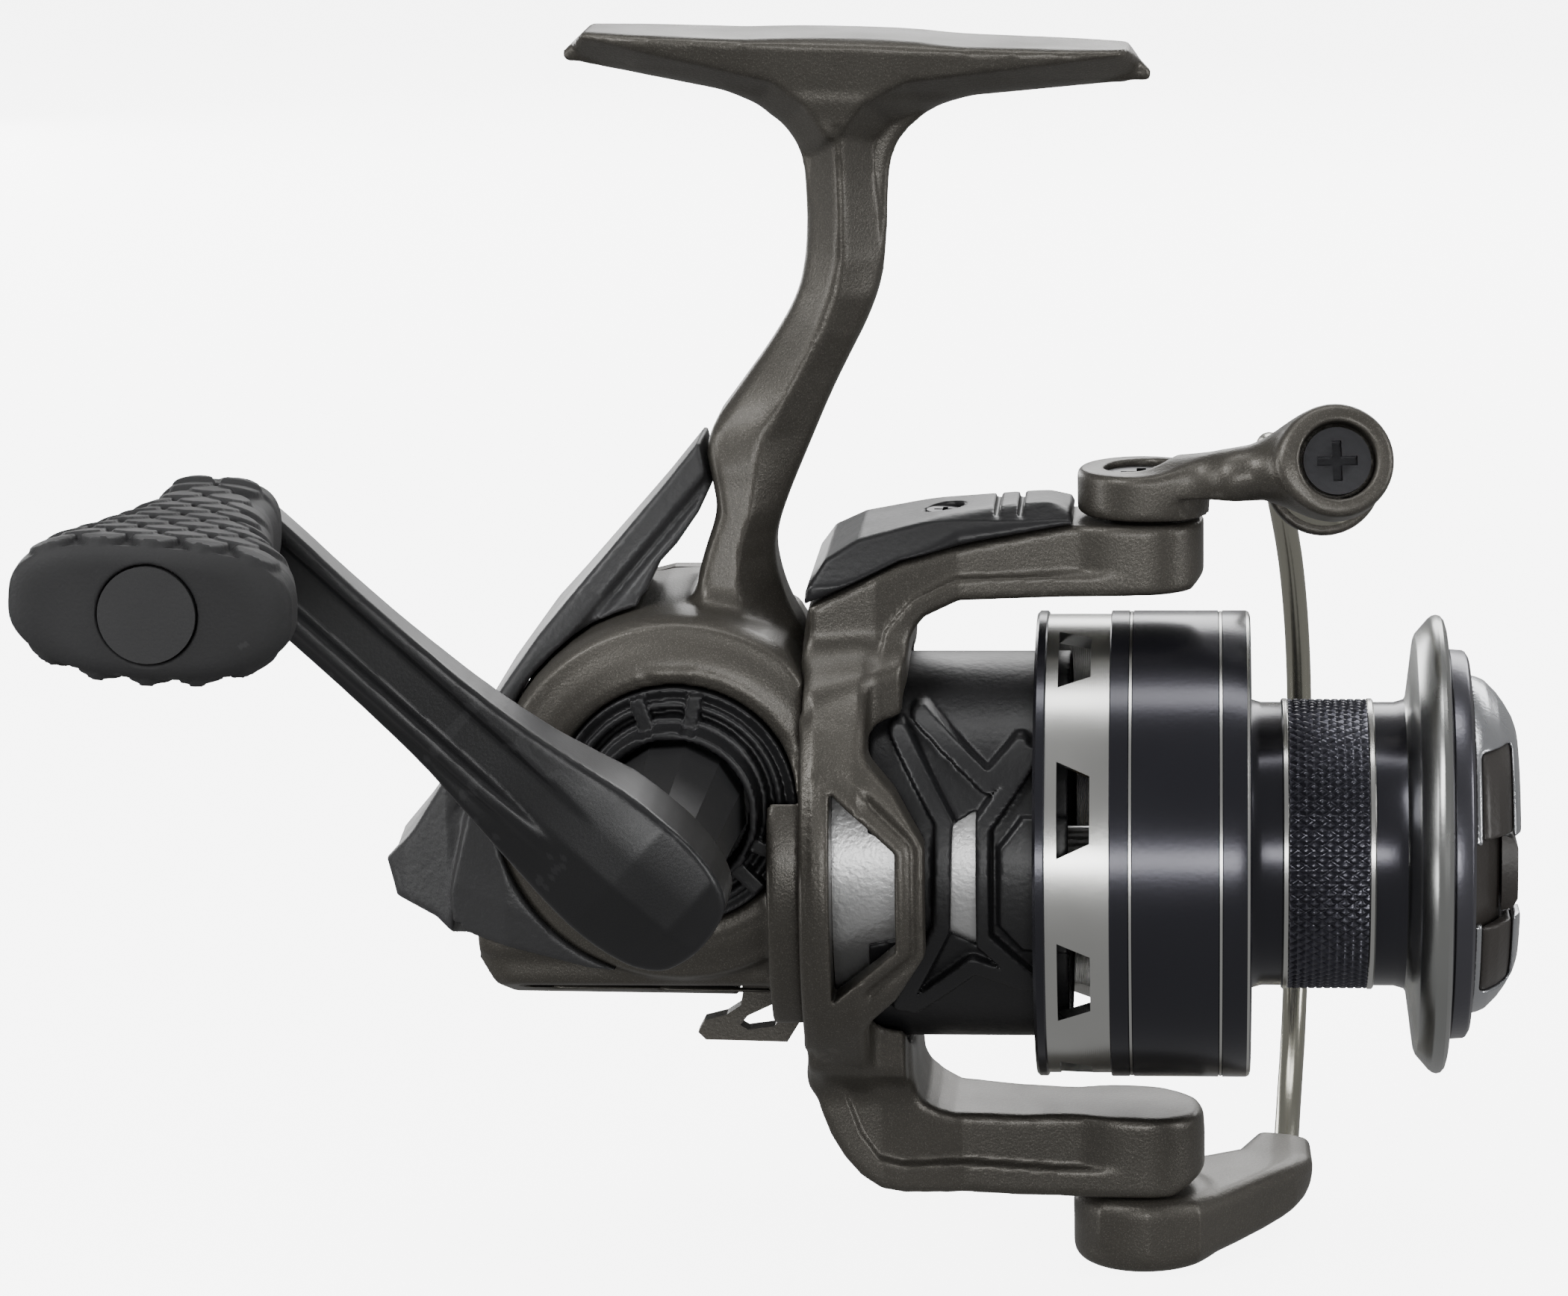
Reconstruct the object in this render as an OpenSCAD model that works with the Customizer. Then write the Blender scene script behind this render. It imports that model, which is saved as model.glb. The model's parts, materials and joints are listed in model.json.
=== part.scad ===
// Open-face spinning reel, millimetres.
// The model is laid out about the spool axis: +X runs forward along it, +Z up to the foot and
// -Y to the handle side. Everything is then lowered so that the origin sits on the foot's seat.

/* [Foot and stem] */
// Length of the foot that goes under the rod seat hoods
foot_length = 59.5; // [56:0.5:62]
// Width of the foot plate
foot_width = 15; // [13:0.5:17]
// Height of the foot seat above the spool axis
axis_drop = 83.6; // [82:0.2:86]
// Slope of the foot seat, front end lower, in degrees
foot_tilt = 2.4; // [0:0.1:3]

/* [Spool] */
// Radius of the spool skirt
skirt_r = 24.05; // [23.8:0.05:24.3]
// Radius of the spool lip
lip_r = 23.6; // [22.5:0.1:24]
// Radius of the arbor that carries the line
arbor_r = 14.6; // [13.6:0.1:15]
// Number of windows in the ported band
port_count = 8; // [6:1:10]

/* [Handle] */
// Distance from the crank axis to the knob axis
arm_length = 52.3; // [46:0.1:54]
// Angle of the arm at rest, from +X towards +Z
arm_angle = 137.7; // [130:0.1:150]
// Full width of the knob's outer end
knob_width = 25.6; // [22:0.1:28]

/* [Gears] */
// Teeth on the drive gear
drive_teeth = 43; // [43:1:43]
// Teeth on the pinion
pinion_teeth = 7; // [7:1:7]

/* [Hidden] */
$fn = 64;
blend_fn = 32;
fit_gap = 0.06; // running clearance on radius

shaft_r = 1.75;
crank_x = -18.3;
crank_z = 8;
crank_r = 3;
bail_x = 28.4; // bail pivot axis, parallel to Z
boss_r = 6.5; // round ends of the rotor arms

bronze = [0.36, 0.33, 0.29];
charcoal = [0.16, 0.16, 0.17];
black = [0.07, 0.07, 0.08];
satin = [0.72, 0.72, 0.73];
brass = [0.78, 0.62, 0.30];
felt = [0.30, 0.22, 0.16];

// housing
cavity_near = -11.6;
cavity_far = 11.5;
wall_near = -13.6;
wall_far = 13.6;
housing_front = -5.4;
cover_front = -9;
collar_r = 17;
bearing_r = 6.5;
bush_r = 2.8; // rear bush of the pinion
rod_r = 1; // guide rod of the slider
rod_z = -9.4;
rod_rear = -35.2;
post_r = 2.2;
rim_post_r = 1.5;
shank_r = 0.8;

// rotor
ring_rear = -5;
ring_r = 25.3;
drum_r = 19.2;
drum_front = 17;
insert_r = 20.6;
insert_front = 21.2;

// pinion and face gear: both meet on the radial line from the gear's centre to the pinion
mesh_r = 14.5;
mesh_dx = sqrt(mesh_r * mesh_r - crank_z * crank_z);
mesh_x = crank_x + mesh_dx;
helix = atan2(crank_z, mesh_dx);
pinion_pitch_r = mesh_r * mesh_r * pinion_teeth / drive_teeth / mesh_dx;
tooth_height = 1.1;
tooth_width = 0.66;
face_width = 2.4;
gear_r = mesh_r + face_width / 2;

// oscillation gears
small_teeth = 12;
large_teeth = 24;
gear_module = 0.7;
osc_x = -23.45;
osc_z = -3.5;
osc_throw = 7; // spool travels this far each way

// spool stations along X
skirt_rear = 17.7;
band_rear = 18.9;
band_front = 25.3;
skirt_front = 39.5;
arbor_rear = 40.6;
knurl_rear = 43.2;
knurl_front = 51.5;
arbor_front = 55.2;
lip_front = 60;
knob_front = 66.6;
drag_bore_r = 11.6;
drag_floor = 46.5;

// line roller: its axis starts at the head's outer face and slopes away and down
roller_face = [48.1, -8.6, 41.8];
roller_dip = 18.3;
roller_yaw = 5.7;
roller_turn = [-90 - roller_dip, 0, roller_yaw];
roller_dir = [-sin(roller_yaw) * cos(roller_dip), cos(roller_yaw) * cos(roller_dip), -sin(roller_dip)];
cone_end = 18.6; // end of the cone along the roller axis

// bail wire, from the roller's cone round the far side to the lower holder
wire_r = 1.35;
wire_route = concat(
    [roller_face + cone_end * roller_dir, roller_face + (cone_end + 2.6) * roller_dir],
    [
        [44.6, 15.6, 35.2], [42.6, 20.4, 37], [41.7, 26, 37], [42, 32, 34], [43.1, 38, 28.6],
        [44.4, 42.2, 20.6], [45.2, 45, 11], [45.5, 46, 0], [45.5, 45, -11], [45.2, 42, -21],
        [44.8, 37, -30], [44.2, 30, -36.5], [43.7, 22, -40.3], [43.4, 15, -41]
    ]
);

// crank arm fold
fold_x = 5.5;
fold_y = -45;

// arm and knob, Y planes
arm_inner = -46.4;
arm_outer = -50.2;
knob_inner = -50.9;
knob_outer = -88.4;
knob_shaft_r = 2.2;
knob_turn = 4; // resting turn of the knob about its own axis

// ---------- helpers ----------

// Cylinder along X
module along_x(x0, x1, r) {
    translate([x0, 0, 0]) rotate([0, 90, 0]) cylinder(h = x1 - x0, r = r);
}

// Tube along X
module tube_x(x0, x1, r_out, r_in) {
    difference() {
        along_x(x0, x1, r_out);
        along_x(x0 - 1, x1 + 1, r_in);
    }
}

// Cylinder along Y through (x, z)
module along_y(x, z, y0, y1, r) {
    translate([x, y1, z]) rotate([90, 0, 0]) cylinder(h = y1 - y0, r = r);
}

module tube_y(x, z, y0, y1, r_out, r_in) {
    difference() {
        along_y(x, z, y0, y1, r_out);
        along_y(x, z, y0 - 1, y1 + 1, r_in);
    }
}

// Cylinder along Z through (x, y)
module along_z(x, y, z0, z1, r) {
    translate([x, y, z0]) cylinder(h = z1 - z0, r = r);
}

// Solid turned about the spool axis from [x, radius] points
module turned(points) {
    rotate([0, 90, 0]) rotate_extrude() polygon([for (p = points) [p[1], p[0]]]);
}

// Plate with an XZ outline between two Y planes
module xz_plate(y0, y1, points) {
    translate([0, y1, 0]) rotate([90, 0, 0]) linear_extrude(y1 - y0) polygon(points);
}

// Plate with an XY outline between two Z planes
module xy_plate(z0, z1, points) {
    translate([0, 0, z0]) linear_extrude(z1 - z0) polygon(points);
}

// Plate with a YZ outline between two X planes
module yz_plate(x0, x1, points) {
    translate([x0, 0, 0]) rotate([90, 0, 90]) linear_extrude(x1 - x0) polygon(points);
}

// Outline mirrored in its second coordinate, from its positive half
function both_sides(half) = concat(
    half,
    [for (i = [len(half) - 1:-1:0]) [half[i][0], -half[i][1]]]
);
// The same, mirrored in its first coordinate
function both_flanks(half) = concat(
    half,
    [for (i = [len(half) - 1:-1:0]) [-half[i][0], half[i][1]]]
);

// Round wire swept along a smoothed route
function unit(v) = v / norm(v);
function spline(p, i, t) = let (
    last = len(p) - 1,
    a = p[max(i - 1, 0)], b = p[i], c = p[i + 1], d = p[min(i + 2, last)]
) 0.5 * (2 * b + (c - a) * t + (2 * a - 5 * b + 4 * c - d) * t * t
    + (3 * b - a - 3 * c + d) * t * t * t);
function smooth(p, steps) = concat(
    [for (i = [0:len(p) - 2]) for (s = [0:steps - 1]) spline(p, i, s / steps)],
    [p[len(p) - 1]]
);
function along(p, i) = unit(p[min(i + 1, len(p) - 1)] - p[max(i - 1, 0)]);
module wire(path, r, sides, up) {
    rings = [for (i = [0:len(path) - 1]) let (
        t = along(path, i),
        n = unit(cross(t, up)),
        b = cross(t, n)
    ) for (k = [0:sides - 1]) let (a = 360 * k / sides) path[i] + r * (cos(a) * n + sin(a) * b)];
    last = len(path) - 1;
    polyhedron(rings, concat(
        [[for (k = [0:sides - 1]) k]],
        [[for (k = [sides - 1:-1:0]) last * sides + k]],
        [for (i = [0:last - 1]) for (k = [0:sides - 1]) let (j = (k + 1) % sides)
            each [
                [i * sides + k, (i + 1) * sides + k, (i + 1) * sides + j],
                [i * sides + k, (i + 1) * sides + j, i * sides + j]
            ]]
    ));
}

// Coil spring along X
module coil_x(x0, x1, coil_r, r, turns) {
    steps = turns * 12;
    path = [for (i = [0:steps]) [
        x0 + (x1 - x0) * i / steps, coil_r * cos(i * 30), coil_r * sin(i * 30)
    ]];
    wire(path, r, 8, [1, 0, 0]);
}

// Frame of the crank arm: x runs out along the arm from the crank axis
module crank_frame() {
    translate([crank_x, 0, crank_z]) rotate([0, -arm_angle, 0]) children();
}

// Frame of the knob, on its own axis
module knob_frame() {
    translate([crank_x + arm_length * cos(arm_angle), 0, crank_z + arm_length * sin(arm_angle)])
        rotate([0, knob_turn, 0]) children();
}

// Frame of the line roller: z runs away from the viewer's side along the roller axis
module roller_frame() {
    translate(roller_face) rotate(roller_turn) children();
}

// Frame of the foot, z = 0 on its seat
module foot_frame() {
    translate([0, 0, axis_drop]) rotate([0, foot_tilt, 0]) children();
}

// Spur gear on an axis along Y
module spur(x, z, y0, y1, teeth, turn) {
    pitch_r = gear_module * teeth / 2;
    root_r = pitch_r - 1.2 * gear_module;
    tooth = 0.72 * gear_module * 3.1416 / 2;
    translate([x, y1, z]) rotate([90, 0, 0]) union() {
        cylinder(h = y1 - y0, r = root_r);
        for (k = [0:teeth - 1]) rotate([0, 0, turn + 360 * k / teeth])
            translate([root_r - 0.2, -tooth / 2, 0])
                cube([1.9 * gear_module + 0.2, tooth, y1 - y0]);
    }
}

// Screw head with a cross recess, top face at z = 0, shank below
module cross_screw(head_r, head_h, shank_r, shank_l) {
    difference() {
        union() {
            translate([0, 0, -head_h]) cylinder(h = head_h, r = head_r);
            translate([0, 0, -head_h - shank_l]) cylinder(h = shank_l + 0.01, r = shank_r);
        }
        for (a = [0, 90]) rotate([0, 0, a])
            translate([-head_r * 0.6, -head_r * 0.14, -head_h * 0.6])
                cube([head_r * 1.2, head_r * 0.28, head_h]);
    }
}

// ---------- body ----------

module stem_outline() {
    polygon([
        [-8.6, 76], [-6.4, 73], [-5.4, 69], [-5.3, 63.5], [-5.8, 58.5], [-8, 54.4],
        [-11.9, 49], [-16, 43.4], [-14.9, 38.6], [-14.4, 36], [-16.2, 31], [-16.8, 28],
        [-16.6, 25], [-14, 18], [housing_front, 18], [-6.6, 23.7], [-8.3, 27.8],
        [-9, 31.1], [-8.8, 33.5], [-7.3, 37.6], [-3.1, 47.4], [1, 55.4], [2.4, 59.4],
        [2.8, 64], [3, 69], [3.8, 72.3], [6, 74.6], [9, 75.6]
    ]);
}

module stem() {
    intersection() {
        translate([0, 8, 0]) rotate([90, 0, 0]) linear_extrude(16) stem_outline();
        yz_plate(-20, 12, both_flanks([
            [8, 15], [7.4, 25], [6, 38], [5, 50], [4.7, 62], [4.9, 70], [6.2, 77]
        ]));
    }
}

module foot() {
    half = foot_length / 2;
    foot_frame() union() {
        intersection() {
            xz_plate(-foot_width / 2, foot_width / 2, [
                [-half + 2.6, 0], [half - 2.6, 0], [half, -2.6], [half - 0.4, -3.6],
                [12, -3.4], [-12, -3.4], [-half + 0.4, -3.6], [-half, -2.6]
            ]);
            xy_plate(-5, 1, both_sides([
                [-half, 2.4], [-half + 1.6, 4.8], [-half + 8, 6.6], [-10, foot_width / 2],
                [10, foot_width / 2], [half - 8, 6.6], [half - 1.6, 4.8], [half, 2.4]
            ]));
        }
        intersection() {
            xz_plate(-6, 6, [
                [-half + 2, -3.2], [half - 2, -3.2], [half - 3, -4.3], [16, -6.2], [9, -8.2],
                [-9.5, -8.2], [-19.3, -5.4], [-half + 3, -4]
            ]);
            xy_plate(-9, -3, both_sides([
                [-half + 2, 1], [-12, 4.6], [-8, 5.6], [9, 5.6], [13, 4.6], [half - 2, 1]
            ]));
        }
    }
}

housing_points = concat(
    [[housing_front, -15.4], [housing_front, 20.4]],
    [for (a = [55:14:167]) [crank_x + 19 * cos(a), crank_z + 19 * sin(a)]],
    [[-38.6, 6], [-40.8, -6.6], [-36.4, -14.4]]
);

// Cover screws: two at the rim of the round part and two in the lower corners
rim_screw_r = 17.45;
rim_screws = [for (a = [69, 153]) [crank_x + rim_screw_r * cos(a), crank_z + rim_screw_r * sin(a)]];
low_screws = [[-36.2, -9.8], [-11.5, -11.9]];
screw_places = concat(rim_screws, low_screws);
screw_end = -0.4;

// Raised disc on the handle side, cut off level with the housing's underside and front
module near_side(y0, y1, r) {
    intersection() {
        along_y(crank_x, crank_z, y0, y1, r);
        translate([-60, y0 - 1, -14.4]) cube([60 + housing_front, y1 - y0 + 2, 60]);
    }
}

module housing_shell() {
    union() {
        xz_plate(wall_near, cavity_far, housing_points);
        near_side(-15.2, -12.6, 18.8);
        near_side(-16.6, -12.6, 14.6);
        intersection() {
            along_x(cover_front, housing_front, 21.2);
            translate([-10, -22, -15.6]) cube([10, 44, 40]);
        }
        along_x(cover_front, -3, collar_r + 0.8);
        along_x(cover_front, 0.5, collar_r);
    }
}

module housing_cavity() {
    inner = [for (p = housing_points) [
        min(p[0] + (p[0] < crank_x ? 1.8 : 0), -7.2),
        p[1] > 0 ? p[1] - 1.6 : p[1] + 1.7
    ]];
    difference() {
        xz_plate(cavity_near, cavity_far, inner);
        // bulkhead that carries the pinion's rear bush
        translate([-12.2, -6, -15]) cube([2.8, 8.2, 19.5]);
    }
    intersection() {
        along_x(-8, -1.4, collar_r - 1.2);
        translate([-8, -9, -9]) cube([7, 18, 26]);
    }
    // room for the rim of the drive gear inside the collar
    along_y(crank_x, crank_z, 1.8, 7, gear_r + 0.4);
}

module screw_holes(y0, y1, r) {
    for (p = screw_places) along_y(p[0], p[1], y0, y1, r);
}

module body_frame() {
    color(bronze) union() {
        foot();
        difference() {
            union() {
                stem();
                housing_shell();
            }
            housing_cavity();
            along_x(-13, -9, bush_r);
            along_x(-3, 2, 4.2);
            translate([0, 0, rod_z]) along_x(-13, -7, rod_r);
            along_y(crank_x, crank_z, -18, -13.4, 12.4);
            along_y(crank_x, crank_z, -14, -10, bearing_r + 0.02);
            along_y(crank_x, crank_z, 17.2, 24, 11.7);
            // pocket and pin hole of the anti-reverse lever
            translate([-13.2, -7.4, -18.5]) cube([7, 6.9, 7.5]);
            translate([-14.4, -4, -13.6]) rotate([0, 90, 0]) cylinder(h = 9.4, r = 0.7);
            screw_holes(screw_end - 0.1, 20, shank_r + 0.02);
        }
        difference() {
            union() {
                for (p = rim_screws) along_y(p[0], p[1], cavity_near - 0.1, 1.5, rim_post_r);
                along_y(low_screws[0][0], low_screws[0][1], cavity_near - 0.1, cavity_far, post_r);
                along_y(low_screws[1][0], low_screws[1][1], 2.5, cavity_far, post_r);
            }
            translate([0, 0, rod_z]) along_x(rod_rear, -7, rod_r);
            screw_holes(screw_end - 0.1, 20, shank_r + 0.02);
        }
    }
}

module side_cover() {
    color(bronze) difference() {
        union() {
            intersection() {
                xz_plate(cavity_far, wall_far, housing_points);
                translate([-60, 0, -20]) cube([60 + cover_front, 20, 60]);
            }
            intersection() {
                along_y(crank_x, crank_z, cavity_far, 17.2, 12.4);
                translate([-60, 0, -20]) cube([60 + cover_front, 20, 60]);
            }
        }
        along_y(crank_x, crank_z, 11, 18, bearing_r + 0.02);
        screw_holes(10, 16, shank_r + 0.02);
        screw_holes(12.6, 16, 1.55);
    }
}

module cover_screws() {
    color(satin) for (p = screw_places) translate([p[0], 13.55, p[1]])
        rotate([-90, 0, 0]) cross_screw(1.5, 0.95, shank_r, 12.6 - screw_end);
}

module rear_guard() {
    outline = concat(
        [
            [-16.3, 43.3], [-15.2, 38.6], [-16.4, 36], [-18.6, 32.9], [-20.4, 31], [-21.7, 28.2],
            [-22.3, 27.6]
        ],
        [for (a = [103:13:168]) [crank_x + 19.4 * cos(a), crank_z + 19.4 * sin(a)]],
        [
            [-39, 6], [-41.2, -6.8], [-42, -9.9], [-43.8, -8.2], [-48.3, -5.9], [-49.4, -1],
            [-45.9, 4], [-37.8, 17], [-32.7, 24.1], [-20.2, 38.5]
        ]
    );
    color(charcoal) intersection() {
        xz_plate(-14, 14, outline);
        xy_plate(-12, 50, both_sides([
            [-50, 6], [-47, 9], [-42, 12.4], [-36, 13.8], [-14, 13.8]
        ]));
        yz_plate(-50, -14, both_flanks([
            [14, -12], [14, 17], [11, 23], [7, 28], [5.4, 36], [4.8, 44]
        ]));
    }
}

module bearing_cap() {
    color(black) difference() {
        union() {
            tube_y(crank_x, crank_z, -17.3, -13.4, 12.2, 4);
            tube_y(crank_x, crank_z, -20.5, -14, 8.7, 7.7);
            for (a = [62, 118, -52, -14]) translate([crank_x, 0, crank_z]) rotate([0, -a, 0])
                translate([8.4, -17.9, -0.6]) cube([3.4, 1, 1.2]);
        }
        tube_y(crank_x, crank_z, -18, -16.2, 11.2, 9.4);
        along_y(crank_x, crank_z, -18, -16.6, 7.7);
        along_y(crank_x, crank_z, -14, -13, bearing_r - 0.8);
    }
}

module far_cap() {
    color(black) difference() {
        union() {
            along_y(crank_x, crank_z, 17.2, 19, 11.6);
            along_y(crank_x, crank_z, 19, 20.2, 8.6);
            along_y(crank_x, crank_z, 16.1, 17.3, 6.4);
        }
        for (k = [0:5]) translate([crank_x, 0, crank_z]) rotate([0, 60 * k, 0])
            along_y(11.9, 0, 17, 20, 1.4);
        along_y(crank_x, crank_z, 16, 17.6, 3.4);
    }
}

// Shielded bearing: two races with a plain ring between them
module bearing_y(y0, y1, r_in) {
    race = 1.1;
    mid = (bearing_r + r_in) / 2;
    tube_y(crank_x, crank_z, y0, y1, bearing_r, bearing_r - race);
    tube_y(crank_x, crank_z, y0, y1, r_in + race, r_in);
    tube_y(crank_x, crank_z, y0 + 0.3, y1 - 0.3, bearing_r - race, r_in + race);
}

module shaft_bearings() {
    color(satin) {
        bearing_y(-13.4, -10.6, crank_r + fit_gap);
        bearing_y(12.6, 15.8, crank_r + fit_gap);
    }
}

module pinion_bearings() {
    color(satin) {
        tube_x(0.6, 4.2, bearing_r, 3 + fit_gap);
        tube_x(-12.2, -9.4, bush_r, 2.25 + fit_gap);
    }
}

module clutch_housing() {
    color(satin) difference() {
        along_x(0.5, 12, 16.4);
        along_x(0, 4.3, bearing_r + 0.02);
        along_x(4, 5, 5);
        along_x(5, 11.2, 12);
        along_x(11, 13, 7.6);
        for (k = [0:2]) rotate([120 * k + 60, 0, 0]) translate([0, 14.2, 0])
            along_x(-1, 13, 0.9);
    }
}

module clutch_rollers() {
    color(charcoal) tube_x(5.1, 11.1, 11.95, 9.2);
    color(satin) for (k = [0:7]) rotate([45 * k, 0, 0]) translate([0, 7.75, 0])
        along_x(5.6, 10.6, 1.2);
}

module guide_rod() {
    color(satin) translate([0, 0, rod_z]) along_x(rod_rear, -7.2, rod_r);
}

module gear_post() {
    color(satin) along_y(osc_x, osc_z, cavity_near, -4.4, 1.5);
}

module lever_pin() {
    color(satin) translate([-14.3, -4, -13.6]) rotate([0, 90, 0]) cylinder(h = 9.2, r = 0.7);
}

module anti_reverse_lever() {
    color(bronze) difference() {
        union() {
            translate([-12.9, -4, -13.6]) rotate([0, 90, 0]) cylinder(h = 6.4, r = 1.5);
            xz_plate(-5.1, -2.9, [
                [-17.6, -19.1], [-16.8, -19.9], [-8.3, -20.1], [-6.3, -16.8], [-6.5, -13.8],
                [-12.7, -13.8], [-13.1, -16.2], [-14.6, -17.2], [-16.9, -17.8]
            ]);
        }
        translate([-15, -4, -13.6]) rotate([0, 90, 0]) cylinder(h = 10, r = 0.76);
        xz_plate(-6, -2, [
            [-13.2, -18.3], [-12.4, -17.3], [-9.9, -16.1], [-8.9, -16.4], [-8.9, -17.4],
            [-9.6, -18.4], [-12.4, -18.8]
        ]);
    }
}

// ---------- crank and gears ----------

module drive_gear() {
    step = 360 / drive_teeth;
    tip_y = pinion_pitch_r - tooth_height / 2 + 0.15;
    base_y = tip_y + tooth_height;
    color(brass) difference() {
        union() {
            tube_y(crank_x, crank_z, base_y, 5.6, gear_r, mesh_r - 1.9);
            along_y(crank_x, crank_z, 4.9, 6.4, mesh_r - 1.8);
            along_y(crank_x, crank_z, 4.9, 12.4, 5.4);
            translate([crank_x, 0, crank_z]) for (k = [0:drive_teeth - 1])
                rotate([0, helix + (k + 0.5) * step, 0])
                    translate([mesh_r, base_y - tooth_height / 2 + 0.1, 0])
                        cube([face_width, tooth_height + 0.2, tooth_width], center = true);
        }
        along_y(crank_x, crank_z, -20, 20, crank_r);
    }
    small_pitch_r = gear_module * small_teeth / 2;
    color(brass) difference() {
        spur(crank_x, crank_z, -7.2, -4.4, small_teeth, 0);
        along_y(crank_x, crank_z, -20, 20, crank_r);
    }
}

module oscillation_gear() {
    // turned so that a tooth gap faces the small gear's tooth on the line of centres
    line = atan2(crank_z - osc_z, crank_x - osc_x);
    small_line = line + 180;
    small_phase = small_line - floor(small_line * small_teeth / 360) * 360 / small_teeth;
    turn = line + (0.5 + small_phase * small_teeth / 360) * 360 / large_teeth;
    color(brass) difference() {
        union() {
            spur(osc_x, osc_z, -7, -4.6, large_teeth, turn);
            along_y(osc_x, osc_z + osc_throw, -4.7, -3.95, 1.1);
        }
        along_y(osc_x, osc_z, -9, -3, 1.5 + fit_gap);
    }
}

module crank_shaft() {
    color(satin) along_y(crank_x, crank_z, -37, 16, crank_r);
}

module handle_hub() {
    color(black) difference() {
        union() {
            crank_frame() rotate([90, 0, 0]) translate([0, 0, 17])
                cylinder(h = 23, r1 = 7.3, r2 = 6.1, $fn = 12);
            crank_frame() intersection() {
                union() {
                    translate([-4.4, -45, -2.4]) cube([fold_x + 4.4, 6, 4.8]);
                    translate([fold_x, fold_y, -2.4]) cylinder(h = 4.8, r = 3);
                }
                translate([-10, -50, -3]) cube([20, 11, 6]);
            }
        }
        crank_frame() translate([fold_x, fold_y, -10]) cylinder(h = 20, r = 1.25);
        along_y(crank_x, crank_z, -37, 0, crank_r);
    }
}

module fold_pin() {
    color(satin) crank_frame() translate([fold_x, fold_y, -5.4]) cylinder(h = 10.8, r = 1.25);
}

module handle_arm() {
    color(black) crank_frame() difference() {
        intersection() {
            side_outline_arm();
            plan_arm();
        }
        translate([fold_x, fold_y, -10]) cylinder(h = 20, r = 1.25 + fit_gap);
        translate([-8, -48.6, -2.7]) cube([17.6, 8, 5.4]);
        along_y(arm_length, 0, -60, -40, knob_shaft_r);
        // groove that runs along the outer face
        translate([13, -54.6, -1.3]) rotate([0, 0, 3.4]) cube([30, 3, 2.6]);
    }
}

// Arm thickness seen from its edge: x along the arm, y across it
module side_outline_arm() {
    xy_plate(-8, 8, [
        [-7.2, -51], [-4.5, -53], [3, -53], [14, -52.2], [arm_length + 5, arm_outer],
        [arm_length + 5, arm_inner], [35, arm_inner], [16, -45], [11, -43.6], [8, -42.4],
        [-7.2, -42.4]
    ]);
}

// Arm width seen along the crank axis
module plan_arm() {
    union() {
        along_y(0, 0, -54, -40, 7.1);
        along_y(arm_length, 0, -54, -40, 4.9);
        xz_plate(-54, -40, [
            [-1, 7], [9, 6], [18, 4.6], [36, 4.2], [arm_length, 4.9], [arm_length, -4.9],
            [36, -4.2], [18, -4.6], [9, -6], [-1, -7]
        ]);
    }
}

module knob_shaft() {
    color(satin) knob_frame() union() {
        along_y(0, 0, knob_outer + 5.5, arm_inner, knob_shaft_r);
        along_y(0, 0, knob_outer + 4, knob_outer + 5.6, 3.2);
    }
}

module handle_knob() {
    half = knob_width / 2;
    color(charcoal) knob_frame() difference() {
        intersection() {
            xy_plate(-8, 8, both_flanks([
                [5.8, knob_inner], [6, knob_inner - 8.4], [7.2, knob_outer + 22],
                [9.6, knob_outer + 14], [half - 0.6, knob_outer + 7], [half, knob_outer + 3],
                [half - 1.4, knob_outer]
            ]));
            yz_plate(-14, 14, both_sides([
                [knob_inner, 5.4], [-64, 5.2], [knob_outer + 12, 5.8], [knob_outer + 3, 6.4],
                [knob_outer, 5.6]
            ]));
            xz_plate(knob_outer - 1, knob_inner + 1, both_sides([
                [-half, 3.6], [-9, 5.6], [-3, 6.4], [3, 6.4], [9, 5.6], [half, 3.6]
            ]));
        }
        along_y(0, 0, knob_outer + 1.8, -40, 3.6);
        along_y(0, 0, knob_outer - 4, knob_outer + 2, 4.4);
    }
}

module knob_bushes() {
    color(satin) knob_frame() {
        tube_y(0, 0, knob_inner - 4.4, knob_inner - 0.4, 3.58, knob_shaft_r + fit_gap);
        tube_y(0, 0, knob_outer + 6, knob_outer + 10, 3.58, knob_shaft_r + fit_gap);
    }
}

module knob_cap() {
    color(charcoal) knob_frame() along_y(0, 0, knob_outer - 0.2, knob_outer + 1.8, 4.3);
}

// ---------- rotor ----------

arm_plan = both_sides([
    [-6, 12.5], [2, 11.5], [10, 7.4], [20, 6.5], [bail_x, boss_r]
]);

module arm_plan_solid(z0, z1) {
    union() {
        xy_plate(z0, z1, arm_plan);
        along_z(bail_x, 0, z0, z1, boss_r);
    }
}

module upper_arm() {
    difference() {
        intersection() {
            xz_plate(-13, 13, [
                [ring_rear, 20], [ring_rear, 27.6], [-0.6, 29.6], [4.2, 31.6], [12.2, 33.2],
                [20.9, 34.6], [35, 34.6], [35, 28.6], [33.4, 27.3], [10, 27.1], [6.6, 25.8],
                [4.4, 23.6], [3.6, 20]
            ]);
            arm_plan_solid(15, 40);
        }
        translate([4, -3.4, 30]) cube([19, 6.8, 8]);
    }
}

module lower_arm() {
    intersection() {
        xz_plate(-13, 13, [
            [ring_rear, -20], [ring_rear, -24], [-3, -29.4], [-0.4, -33], [3.1, -34.6],
            [19.6, -36.3], [35, -36.5], [35, -29.4], [33.4, -28], [10, -27.6], [6.6, -26.2],
            [4.4, -23.8], [3.6, -20]
        ]);
        arm_plan_solid(-40, -15);
    }
}

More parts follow.
